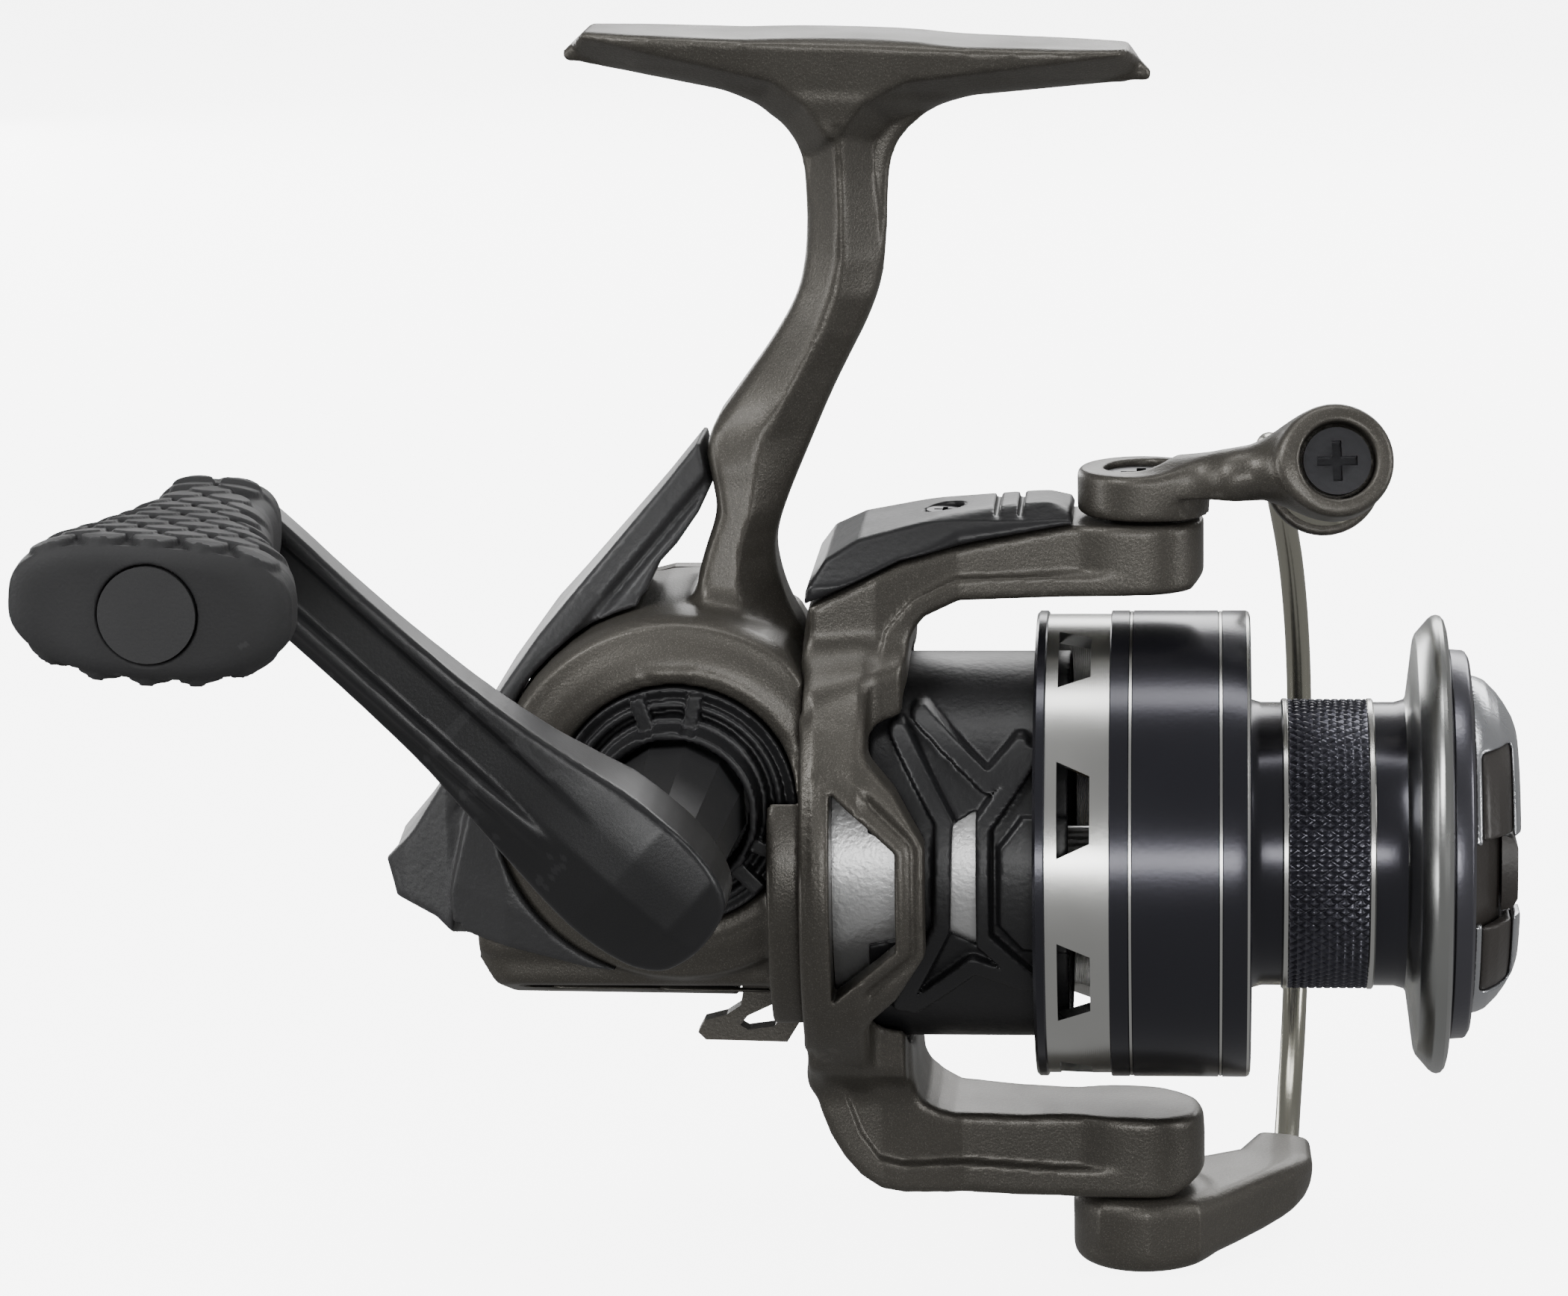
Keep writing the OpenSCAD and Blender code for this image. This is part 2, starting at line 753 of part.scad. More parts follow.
module hoop_outline(grow) {
    polygon([
        [ring_rear - 0.5, 14.2 + grow], [-1.8, 14 + grow], [2, 10 + grow], [4.1 + grow, 5 + grow / 2],
        [4.1 + grow, -5 - grow / 2], [2, -10 - grow], [-1.8, -14 - grow],
        [ring_rear - 0.5, -14.2 - grow]
    ]);
}

module rotor_frame() {
    color(bronze) difference() {
        union() {
            turned([
                [ring_rear, 18.2], [ring_rear, ring_r - 0.8], [ring_rear + 0.8, ring_r],
                [0.2, ring_r], [1, ring_r - 0.8], [1, 20.8], [-2.6, 20.8], [-2.6, 18.2]
            ]);
            intersection() {
                tube_x(ring_rear, 7, ring_r - 0.5, 20.8);
                translate([0, 30, 0]) rotate([90, 0, 0]) linear_extrude(60) hoop_outline(2.6);
            }
            upper_arm();
            lower_arm();
            along_z(bail_x, 0, 34.5, 38.1, 3);
        }
        // windows through the rear band on both flanks
        intersection() {
            translate([0, 30, 0]) rotate([90, 0, 0]) linear_extrude(60) polygon([
                [-2.4, 10.8], [4.1, 5], [4.1, -5], [-2.4, -10.8]
            ]);
            tube_x(-2.6, 8, 30, 20);
        }
        along_x(-2.6, 8, 20.8);
        along_x(-8, -2, 18.2);
        along_z(bail_x, 0, 31, 40, 1.3);
        along_z(bail_x, 0, -40, -29, 2);
    }
}

module rotor_drum() {
    color(satin) difference() {
        union() {
            tube_x(-2.5, drum_front, drum_r, 17.6);
            along_x(14.4, drum_front, drum_r);
            along_x(12.6, drum_front, 7);
        }
        along_x(10, 20, 3);
        for (k = [0:5]) rotate([60 * k + 30, 0, 0]) translate([0, 12.4, 0]) along_x(10, 20, 2.6);
    }
}

module rotor_insert() {
    window = [
        [9.2, 6.6], [14.6, 12.6], [17, 11.6], [12.6, 6.2], [12.6, -6.2], [17, -11.6],
        [14.6, -12.6], [9.2, -6.6]
    ];
    color(black) difference() {
        tube_x(1.1, insert_front, insert_r, drum_r + 0.1);
        translate([0, 30, 0]) rotate([90, 0, 0]) linear_extrude(60) polygon(window);
        translate([0, 30, 0]) rotate([90, 0, 0]) linear_extrude(60) polygon([
            [0, 6], [4.4, 5], [4.4, -5], [0, -6]
        ]);
    }
}

module arm_cover() {
    color(black) difference() {
        intersection() {
            xz_plate(-13, 13, [
                [-5.4, 27.7], [-0.6, 29.7], [4.2, 31.7], [12.2, 33.3], [20.9, 34.7], [21.6, 34.7],
                [21.3, 35.9], [18.9, 36.9], [7.9, 35.5], [-0.1, 33.7], [-3.4, 31.9], [-5.2, 29.2]
            ]);
            arm_plan_solid(20, 40);
            yz_plate(-6, 22, both_flanks([[12, 27], [12, 29.6], [6.4, 35.2], [3.2, 36.6], [0, 37]]));
        }
        along_z(8.4, 0, 25, 40, 0.9);
        along_z(8.4, 0, 34.6, 40, 2);
    }
}

module arm_cover_screw() {
    color(satin) translate([8.4, 0, 35.2]) cross_screw(1.9, 0.6, 0.85, 4.4);
}

module pinion_gear() {
    color(brass) difference() {
        union() {
            along_x(-12.4, -7.8, 2.25);
            along_x(-8.2, -4.2, pinion_pitch_r - tooth_height / 2);
            for (k = [0:pinion_teeth - 1]) rotate([360 * k / pinion_teeth, 0, 0])
                translate([mesh_x, pinion_pitch_r - 0.1, 0]) rotate([0, helix, 0])
                    cube([face_width + 0.6, tooth_height, tooth_width], center = true);
            along_x(-3.4, 20.6, 3);
            along_x(-4.4, -3.4, 2.2);
        }
        along_x(-20, 30, shaft_r + fit_gap);
    }
}

module clutch_sleeve() {
    color(satin) tube_x(5, 12.5, 6.5, 3);
}

module rotor_nut() {
    color(brass) difference() {
        along_x_hex(drum_front + 0.02, 19.8, 5.6);
        along_x(10, 30, 3);
    }
}

module along_x_hex(x0, x1, r) {
    translate([x0, 0, 0]) rotate([0, 90, 0]) cylinder(h = x1 - x0, r = r, $fn = 6);
}

module bail_spring() {
    color(satin) translate([0, 1.9, 31.6]) coil_x(10.5, 21, 1, 0.25, 6);
}

module trip_lever() {
    color(satin) union() {
        translate([7, -2.7, 30.5]) cube([15, 1.6, 1]);
        translate([20.4, -2.7, 30.5]) cube([1.6, 1.6, 2.2]);
    }
}

module bail_pivot_screws() {
    color(satin) {
        translate([bail_x, 0, 39]) cross_screw(3.5, 0.85, 1.28, 6.5);
        translate([bail_x, 0, -44.6]) mirror([0, 0, 1]) cross_screw(3.6, 1.4, 1.98, 13.6);
    }
}

// ---------- bail ----------

module bail_arm() {
    color(bronze) difference() {
        union() {
            along_z(bail_x, 0, 34.95, 39.6, boss_r);
            roller_frame() cylinder(h = 5, r = 5.7);
            // shank: rises from the boss to the roller head
            hull() {
                translate([bail_x + 2.6, -1.6, 37.4]) sphere(r = 2.1, $fn = blend_fn);
                translate([bail_x + 10, -6.4, 39.4]) sphere(r = 1.9, $fn = blend_fn);
            }
            hull() {
                translate([bail_x + 10, -6.4, 39.4]) sphere(r = 1.9, $fn = blend_fn);
                roller_frame() translate([0, 0, 1.8]) cylinder(h = 2.6, r = 3, $fn = blend_fn);
            }
        }
        along_z(bail_x, 0, 34, 40, 3 + fit_gap);
        along_z(bail_x, 0, 38.1, 41, 3.8);
        roller_frame() translate([0, 0, -1]) cylinder(h = 3.2, r = 3.8);
        roller_frame() translate([0, 0, -1]) cylinder(h = 8, r = 1.45);
    }
}

module roller_screw() {
    color(black) roller_frame() translate([0, 0, 0.7]) mirror([0, 0, 1])
        cross_screw(3.4, 1.5, 1.4, 13.6);
}

module roller_bearing() {
    color(satin) roller_frame() translate([0, 0, 5.3]) difference() {
        cylinder(h = 6.6, r = 2.6);
        translate([0, 0, -1]) cylinder(h = 9, r = 1.42);
    }
}

module line_roller() {
    color(satin) roller_frame() rotate_extrude() polygon([
        [2.6 + fit_gap, 5.3], [4.9, 5.3], [4.9, 6.1], [3.7, 7.4], [3.5, 9], [3.9, 10.4],
        [5.2, 11.3], [5.2, 11.9], [2.6 + fit_gap, 11.9]
    ]);
}

module bail_wire() {
    color(satin) wire(smooth(wire_route, 4), wire_r, 12, [1, 0, 0]);
}

// Tapered boss between the line roller and the wire
module bail_cone() {
    color(bronze) roller_frame() difference() {
        rotate_extrude() polygon([
            [0, 12.2], [6, 12.2], [6, 13.4], [4.6, 16.2], [2.8, 18.6], [0, 18.6]
        ]);
        translate([0, 0, 12]) cylinder(h = 4.4, r = 1.42);
    }
}

module bail_holder() {
    socket = [43.4, 15, -41];
    color(bronze) difference() {
        union() {
            along_z(bail_x, 0, -45, -36.9, 7.4);
            hull() {
                along_z(bail_x, 1, -44.8, -38.4, 6);
                translate([43.4, 12.4, -41.2]) rotate([-90, 0, 0])
                    cylinder(h = 5, r = 3.6, $fn = blend_fn);
            }
            translate([43.4, 12.4, -41]) rotate([-90, 0, 0]) cylinder(h = 8.6, r = 3.2);
        }
        along_z(bail_x, 0, -50, -30, 2 + fit_gap);
        along_z(bail_x, 0, -50, -43.1, 3.9);
        translate(socket) rotate([-84, 0, 0]) cylinder(h = 10, r = wire_r + 0.35);
    }
}

// ---------- main shaft and spool ----------

module main_shaft() {
    color(satin) along_x(-26.4, 64, shaft_r);
}

module slider_block() {
    color(charcoal) difference() {
        translate([osc_x - 3.2, -3.6, -12]) cube([6.4, 5.7, 16.6]);
        along_x(-40, 0, shaft_r);
        translate([0, 0, rod_z]) along_x(-40, 0, rod_r + fit_gap);
        translate([osc_x - 1.3, -4, osc_z - 7.6]) cube([2.6, 1.7, 15.2]);
    }
}

module spool_ratchet() {
    color(charcoal) difference() {
        union() {
            along_x(36.4, 37.4, 9);
            along_x(34.8, 39.2, 4.4);
        }
        along_x(30, 50, shaft_r);
        for (k = [0:23]) rotate([15 * k, 0, 0]) translate([36, 9, 0]) rotate([45, 0, 0])
            translate([0, -0.5, -0.5]) cube([2, 1, 1]);
    }
}

module spool_skirt() {
    color(black) difference() {
        turned([
            [band_front, 22.4], [band_front, skirt_r], [27.2, skirt_r], [27.3, skirt_r - 0.15],
            [27.5, skirt_r - 0.15], [27.6, skirt_r], [36.3, skirt_r], [36.4, skirt_r - 0.15],
            [36.6, skirt_r - 0.15], [36.7, skirt_r], [skirt_front - 0.6, skirt_r],
            [skirt_front, skirt_r - 0.6], [38.6, 21.6], [38.2, 17], [38.4, arbor_r],
            [38.4, 13], [36.9, 13], [36.6, 17], [36.4, 22.4]
        ]);
        // slot for the line clip
        translate([31.4, 20, -2.2]) cube([3, 10, 4.4]);
    }
}

module ported_band() {
    span = band_front - band_rear;
    color(satin) difference() {
        tube_x(band_rear, band_front, skirt_r - 0.35, 22.3);
        for (k = [0:port_count - 1]) rotate([(k + 0.5) * 360 / port_count, 0, 0])
            xy_plate(15, 30, [
                [band_rear + 1.2, -4.9], [band_rear + 1.2, 4.9],
                [band_rear + 0.7 * span, 3.4], [band_rear + 0.7 * span, -3.4]
            ]);
    }
}

module skirt_ring() {
    color(black) turned([
        [skirt_rear, 22.2], [skirt_rear, skirt_r - 0.3], [skirt_rear + 0.3, skirt_r],
        [band_rear, skirt_r], [band_rear, 22.2]
    ]);
}

module spool_arbor() {
    color(black) turned([
        [38.45, 13], [38.45, arbor_r + 1.4], [arbor_rear, arbor_r], [knurl_rear, arbor_r],
        [knurl_rear, arbor_r - 0.8], [knurl_front, arbor_r - 0.8], [knurl_front, arbor_r],
        [arbor_front, arbor_r], [arbor_front, drag_bore_r], [drag_floor, drag_bore_r],
        [drag_floor, shaft_r + fit_gap], [39.6, shaft_r + fit_gap], [39.6, 5.4], [44.4, 5.4],
        [44.4, 12.4], [40, 13]
    ]);
}

module knurled_band() {
    color(charcoal) tube_x(knurl_rear + 0.02, knurl_front - 0.02, arbor_r + 0.35, arbor_r - 0.8);
}

module spool_lip() {
    color(satin) turned([
        [arbor_front, drag_bore_r], [arbor_front, arbor_r + 0.6], [55.6, 17.6], [56.6, 21.6],
        [57.8, lip_r - 0.2], [58.6, lip_r], [59.2, lip_r - 0.3], [lip_front, 20.4],
        [lip_front, 17.9], [57.4, 17.9], [57.4, drag_bore_r]
    ]);
}

module spool_front_ring() {
    color(black) turned([
        [lip_front, 17.9], [lip_front, 20.2], [60.6, 20], [61.4, 19.2], [61.4, 17.9]
    ]);
}

washer_step = 1.05;

// Washer number k of the stack, 1 mm thick or less
module washer(k, thick, r_out, r_in) {
    x = drag_floor + 0.03 + k * washer_step;
    tube_x(x, x + thick, r_out, r_in);
}

module felt_washers() {
    color(felt) for (k = [0, 2, 4]) washer(k, 1, drag_bore_r - 0.3, shaft_r + 1.2);
}

module metal_washers() {
    color(satin) for (k = [1, 3, 5]) washer(k, 1, drag_bore_r - 0.6, shaft_r);
}

module retaining_clip() {
    color(satin) rotate([0, 90, 0]) translate([0, 0, 53.4])
        rotate_extrude() translate([drag_bore_r - 0.4, 0]) circle(r = 0.4, $fn = 24);
}

module drag_knob_base() {
    color(bronze) turned([
        [58.4, 11], [58.4, 17.5], [61.8, 17.5], [61.8, 16.4], [63.2, 14], [64.4, 11.6],
        [64.4, 5.2], [61, 5.2], [61, 11]
    ]);
}

// Two silver lobes, above and below the grip bar, open on the flanks
module drag_knob_shell() {
    color(satin) difference() {
        turned([
            [61.85, 17.4], [63.4, 17], [65.4, 14.6], [66.2, 13.2], [knob_front, 12],
            [knob_front, 9], [64.45, 9], [64.45, 11.7], [63.3, 14.1], [61.85, 16.5]
        ]);
        translate([60, -20, -4.1]) cube([10, 40, 8.2]);
        for (side = [-1, 1]) translate([60, side * 15.5 - 4, -12.6]) cube([10, 8, 25.2]);
    }
}

module drag_grip_bar() {
    color(charcoal) intersection() {
        xz_plate(-14, 14, [
            [64.65, -3.9], [64.65, 3.9], [65.8, 3.6], [66.3, 2.6], [66.3, -2.6], [65.8, -3.6]
        ]);
        along_x(64, 67, 12.2);
    }
}

module drag_nut() {
    color(brass) difference() {
        along_x_hex(54.6, 64.5, 5.1);
        along_x(50, 64.2, shaft_r + fit_gap);
    }
}

module drag_spring() {
    color(satin) coil_x(54.6, 60.4, 7.2, 0.4, 4);
}

// ---------- assembly, origin on the foot's seat ----------

module placed() {
    translate([0, 0, -axis_drop]) children();
}

placed() {
    body_frame();
    side_cover();
    rear_guard();
    bearing_cap();
    far_cap();
    cover_screws();
    shaft_bearings();
    pinion_bearings();
    clutch_housing();
    clutch_rollers();
    guide_rod();
    gear_post();
    lever_pin();
    anti_reverse_lever();
    oscillation_gear();
    drive_gear();
    crank_shaft();
    handle_hub();
    fold_pin();
    handle_arm();
    knob_shaft();
    handle_knob();
    knob_bushes();
    knob_cap();
    rotor_frame();
    rotor_drum();
    rotor_insert();
    arm_cover();
    arm_cover_screw();
    pinion_gear();
    clutch_sleeve();
    rotor_nut();
    bail_spring();
    trip_lever();
    bail_pivot_screws();
    bail_arm();
    bail_wire();
    bail_cone();
    bail_holder();
    roller_screw();
    line_roller();
    roller_bearing();
    main_shaft();
    slider_block();
    spool_ratchet();
    metal_washers();
    spool_skirt();
    ported_band();
    skirt_ring();
    spool_arbor();
    knurled_band();
    spool_lip();
    spool_front_ring();
    felt_washers();
    retaining_clip();
    drag_knob_base();
    drag_knob_shell();
    drag_grip_bar();
    drag_nut();
    drag_spring();
}
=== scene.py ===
import json
import math

import bpy
import numpy as np
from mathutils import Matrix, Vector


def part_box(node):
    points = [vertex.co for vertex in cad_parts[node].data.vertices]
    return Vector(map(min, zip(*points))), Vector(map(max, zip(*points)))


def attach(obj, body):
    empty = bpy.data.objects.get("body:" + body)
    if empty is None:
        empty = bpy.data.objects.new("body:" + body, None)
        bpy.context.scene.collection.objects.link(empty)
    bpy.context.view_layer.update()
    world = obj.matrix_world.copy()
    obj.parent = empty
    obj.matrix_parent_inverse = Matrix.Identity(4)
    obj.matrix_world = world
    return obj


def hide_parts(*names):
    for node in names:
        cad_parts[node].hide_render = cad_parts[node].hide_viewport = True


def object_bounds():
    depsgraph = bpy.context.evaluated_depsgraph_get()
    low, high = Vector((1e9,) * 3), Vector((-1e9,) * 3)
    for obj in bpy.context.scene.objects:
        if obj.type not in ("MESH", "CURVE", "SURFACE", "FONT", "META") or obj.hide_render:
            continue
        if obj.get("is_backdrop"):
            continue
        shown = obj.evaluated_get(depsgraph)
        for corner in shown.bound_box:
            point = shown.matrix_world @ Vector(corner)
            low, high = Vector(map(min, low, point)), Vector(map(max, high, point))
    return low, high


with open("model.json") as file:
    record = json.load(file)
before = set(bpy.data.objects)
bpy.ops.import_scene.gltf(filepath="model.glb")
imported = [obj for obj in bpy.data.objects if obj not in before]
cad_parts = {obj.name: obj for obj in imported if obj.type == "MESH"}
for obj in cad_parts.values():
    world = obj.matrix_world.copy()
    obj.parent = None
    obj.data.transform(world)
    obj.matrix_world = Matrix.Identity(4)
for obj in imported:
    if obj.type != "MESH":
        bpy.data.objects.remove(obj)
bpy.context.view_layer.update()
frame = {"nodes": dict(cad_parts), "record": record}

import openvdb
from mathutils import Euler, Matrix, Vector

MM = 0.001


def centre(node):
    """Middle of a CAD node's box, in millimetres."""
    low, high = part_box(node)
    return (low + high) / 2 / MM


# The shapes below are laid out in millimetres about the spool axis, as in the CAD source
AXIS_Z = centre("spool_lip").z
CRANK_X = centre("crank_shaft").x
CRANK_Z = centre("crank_shaft").z - AXIS_Z
BAIL_X = centre("bail_pivot_screws").x
KNOB_X = centre("knob_cap").x
KNOB_Z = centre("knob_cap").z - AXIS_Z
KNOB_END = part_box("handle_knob")[0].y / MM
ARM_ANGLE = math.atan2(KNOB_Z - CRANK_Z, KNOB_X - CRANK_X)
ARM_LENGTH = math.hypot(KNOB_Z - CRANK_Z, KNOB_X - CRANK_X)
TO_ROW = Matrix.Translation((0, 0, AXIS_Z * MM)) @ Matrix.Scale(MM, 4)


# ---------- distance fields ----------

def outline(u, v, points):
    """Signed distance to a closed outline, negative inside."""
    u, v = np.broadcast_arrays(u, v)
    best = np.full(u.shape, 1e9, np.float32)
    inside = np.zeros(u.shape, bool)
    for (ax, ay), (bx, by) in zip(points, points[1:] + points[:1]):
        ex, ey = bx - ax, by - ay
        px, py = u - ax, v - ay
        t = np.clip((px * ex + py * ey) / (ex * ex + ey * ey), 0, 1)
        best = np.minimum(best, (px - ex * t) ** 2 + (py - ey * t) ** 2)
        if ey:
            inside ^= ((ay > v) != (by > v)) & (u < ex * (v - ay) / ey + ax)
    return np.where(inside, -np.sqrt(best), np.sqrt(best)).astype(np.float32)


def line_distance(u, v, points):
    """Distance to an open line."""
    u, v = np.broadcast_arrays(u, v)
    best = np.full(u.shape, 1e9, np.float32)
    for (ax, ay), (bx, by) in zip(points, points[1:]):
        ex, ey = bx - ax, by - ay
        t = np.clip(((u - ax) * ex + (v - ay) * ey) / (ex * ex + ey * ey), 0, 1)
        best = np.minimum(best, (u - ax - ex * t) ** 2 + (v - ay - ey * t) ** 2)
    return np.sqrt(best)


def rounded(points, passes=2):
    """A closed outline with its corners cut softly."""
    for _ in range(passes):
        pairs = zip(points, points[1:] + points[:1])
        points = [p for a, b in pairs for p in (
            (0.75 * a[0] + 0.25 * b[0], 0.75 * a[1] + 0.25 * b[1]),
            (0.25 * a[0] + 0.75 * b[0], 0.25 * a[1] + 0.75 * b[1]),
        )]
    return points


def mirrored(half):
    """An outline from the half with a positive second coordinate."""
    return list(half) + [(a, -b) for a, b in reversed(half)]


def join(a, b, k=0.0):
    """Both shapes as one, the seam filled over a width k."""
    if not k:
        return np.minimum(a, b)
    h = np.maximum(k - np.abs(a - b), 0) / k
    return np.minimum(a, b) - h * h * k / 4


def common(a, b, k=0.0):
    """What two shapes share, the edge rounded over a width k."""
    return -join(-a, -b, k)


def cut(a, b, k=0.0):
    """The first shape without the second."""
    return -join(-a, b, k)


def step_up(v, start, end):
    """0 before start, 1 after end, smooth between."""
    t = np.clip((v - start) / (end - start), 0, 1)
    return t * t * (3 - 2 * t)


def soften(h):
    """A relief with its steps eased over neighbouring cells."""
    h = h.astype(np.float32)
    for axis in [a for a in range(3) if h.shape[a] > 2]:
        wide = np.concatenate([np.take(h, [0], axis), h, np.take(h, [-1], axis)], axis)
        n = h.shape[axis]
        before = np.take(wide, range(0, n), axis)
        after = np.take(wide, range(2, n + 2), axis)
        h = 0.5 * h + 0.25 * before + 0.25 * after
    return h


class Field:
    """A grid of millimetre coordinates on which a piece's distance field is worked out."""

    def __init__(self, low, high, step):
        self.low, self.step = np.array(low, float), step
        counts = np.ceil((np.array(high) - self.low) / step).astype(int) + 1
        self.x, self.y, self.z = (
            (self.low[i] + step * np.arange(counts[i])).astype(np.float32).reshape(
                [-1 if i == axis else 1 for axis in range(3)]
            ) for i in range(3)
        )

    def bar(self, start, end, r0, r1):
        """Round bar between two points, its ends rounded, its radius from r0 to r1."""
        a, b = np.array(start, float), np.array(end, float)
        e = b - a
        px, py, pz = self.x - a[0], self.y - a[1], self.z - a[2]
        t = np.clip((px * e[0] + py * e[1] + pz * e[2]) / (e @ e), 0, 1)
        gap = np.sqrt((px - e[0] * t) ** 2 + (py - e[1] * t) ** 2 + (pz - e[2] * t) ** 2)
        return gap - (r0 + (r1 - r0) * t)

    def rod(self, start, end, r, k=0.0):
        """Round bar with flat ends; r is its radius, or [distance, radius] pairs along it."""
        a, b = np.array(start, float), np.array(end, float)
        length = np.linalg.norm(b - a)
        e = (b - a) / length
        px, py, pz = self.x - a[0], self.y - a[1], self.z - a[2]
        t = px * e[0] + py * e[1] + pz * e[2]
        gap = np.sqrt(np.maximum(px * px + py * py + pz * pz - t * t, 0))
        if not isinstance(r, (int, float)):
            r = np.interp(t, [p[0] for p in r], [p[1] for p in r])
        return common(gap - r, np.abs(t - length / 2) - length / 2, k)

    def box(self, low, high, k=0.0):
        """Box between two corners, its edges rounded over a width k."""
        d = None
        for value, a, b in zip((self.x, self.y, self.z), low, high):
            side = np.abs(value - (a + b) / 2) - (b - a) / 2
            d = side if d is None else common(d, side, k)
        return d

    def turned(self, points):
        """Solid turned about the X axis from (x, radius) points."""
        r = np.sqrt(self.y ** 2 + self.z ** 2)
        fine = self.step / 2
        steps = np.arange(0, float(r.max()) + 2 * fine, fine).astype(np.float32)
        table = outline(self.x[:, :, 0], steps[None, :], points)
        at = r[0] / fine
        low = at.astype(int)
        share = (at - low)[None]
        return table[:, low] * (1 - share) + table[:, low + 1] * share


def mesh_from(name, points, faces):
    """A mesh object from point and face arrays, faces of one size."""
    mesh = bpy.data.meshes.new(name)
    sides = faces.shape[1]
    mesh.vertices.add(len(points))
    mesh.vertices.foreach_set("co", np.asarray(points, np.float32).ravel())
    mesh.loops.add(faces.size)
    mesh.loops.foreach_set("vertex_index", np.asarray(faces, np.int32).ravel())
    mesh.polygons.add(len(faces))
    mesh.polygons.foreach_set("loop_start", np.arange(0, faces.size, sides, dtype=np.int32))
    mesh.update(calc_edges=True)
    mesh.validate()
    mesh.shade_smooth()
    made = bpy.data.objects.new(name, mesh)
    bpy.context.scene.collection.objects.link(made)
    return made


def settle(made, body, material, nodes, place=None):
    """Puts a piece in the row frame, with its material, body and the nodes it stands for."""
    made.data.transform(TO_ROW @ place if place else TO_ROW)
    made.data.materials.append(material)
    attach(made, body)
    if nodes:
        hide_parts(*nodes)
    return made


def cast(name, field, d, body, material, nodes=(), place=None):
    """A piece whose surface is where the distance field is zero."""
    grid = openvdb.FloatGrid()
    grid.copyFromArray(np.ascontiguousarray(d, dtype=np.float32))
    points, quads = grid.convertToQuads()
    points = field.low + points.astype(float) * field.step
    quads = quads.astype(np.int64)
    a, b, c = (points[quads[:, i]] for i in (0, 1, 2))
    if np.einsum("ij,ij->i", a, np.cross(b, c)).sum() < 0:
        quads = quads[:, ::-1]
    return settle(mesh_from(name, points, quads), body, material, nodes, place)


def lathe(name, profile, body, material, nodes=(), segments=160, shape=None):
    """A closed (x, radius) profile turned about the spool axis; shape may change the points."""
    n = len(profile)
    angle = np.arange(segments) * 2 * math.pi / segments
    x = np.array([p[0] for p in profile])[None, :] + 0 * angle[:, None]
    r = np.array([p[1] for p in profile])[None, :] + 0 * angle[:, None]
    a = angle[:, None] + 0 * x
    if shape:
        x, r, a = shape(x, r, a)
    points = np.stack([x, -r * np.sin(a), r * np.cos(a)], -1).reshape(-1, 3)
    i, j = np.meshgrid(np.arange(segments), np.arange(n), indexing="ij")
    i2, j2 = (i + 1) % segments, (j + 1) % n
    faces = np.stack([i * n + j, i2 * n + j, i2 * n + j2, i * n + j2], -1).reshape(-1, 4)
    p = points[faces]
    if np.einsum("ij,ij->i", p[:, 0], np.cross(p[:, 1], p[:, 2])).sum() < 0:
        faces = faces[:, ::-1]
    made = mesh_from(name, points, faces)
    made.data.set_sharp_from_angle(angle=math.radians(28))
    return settle(made, body, material, nodes)


# ---------- materials ----------

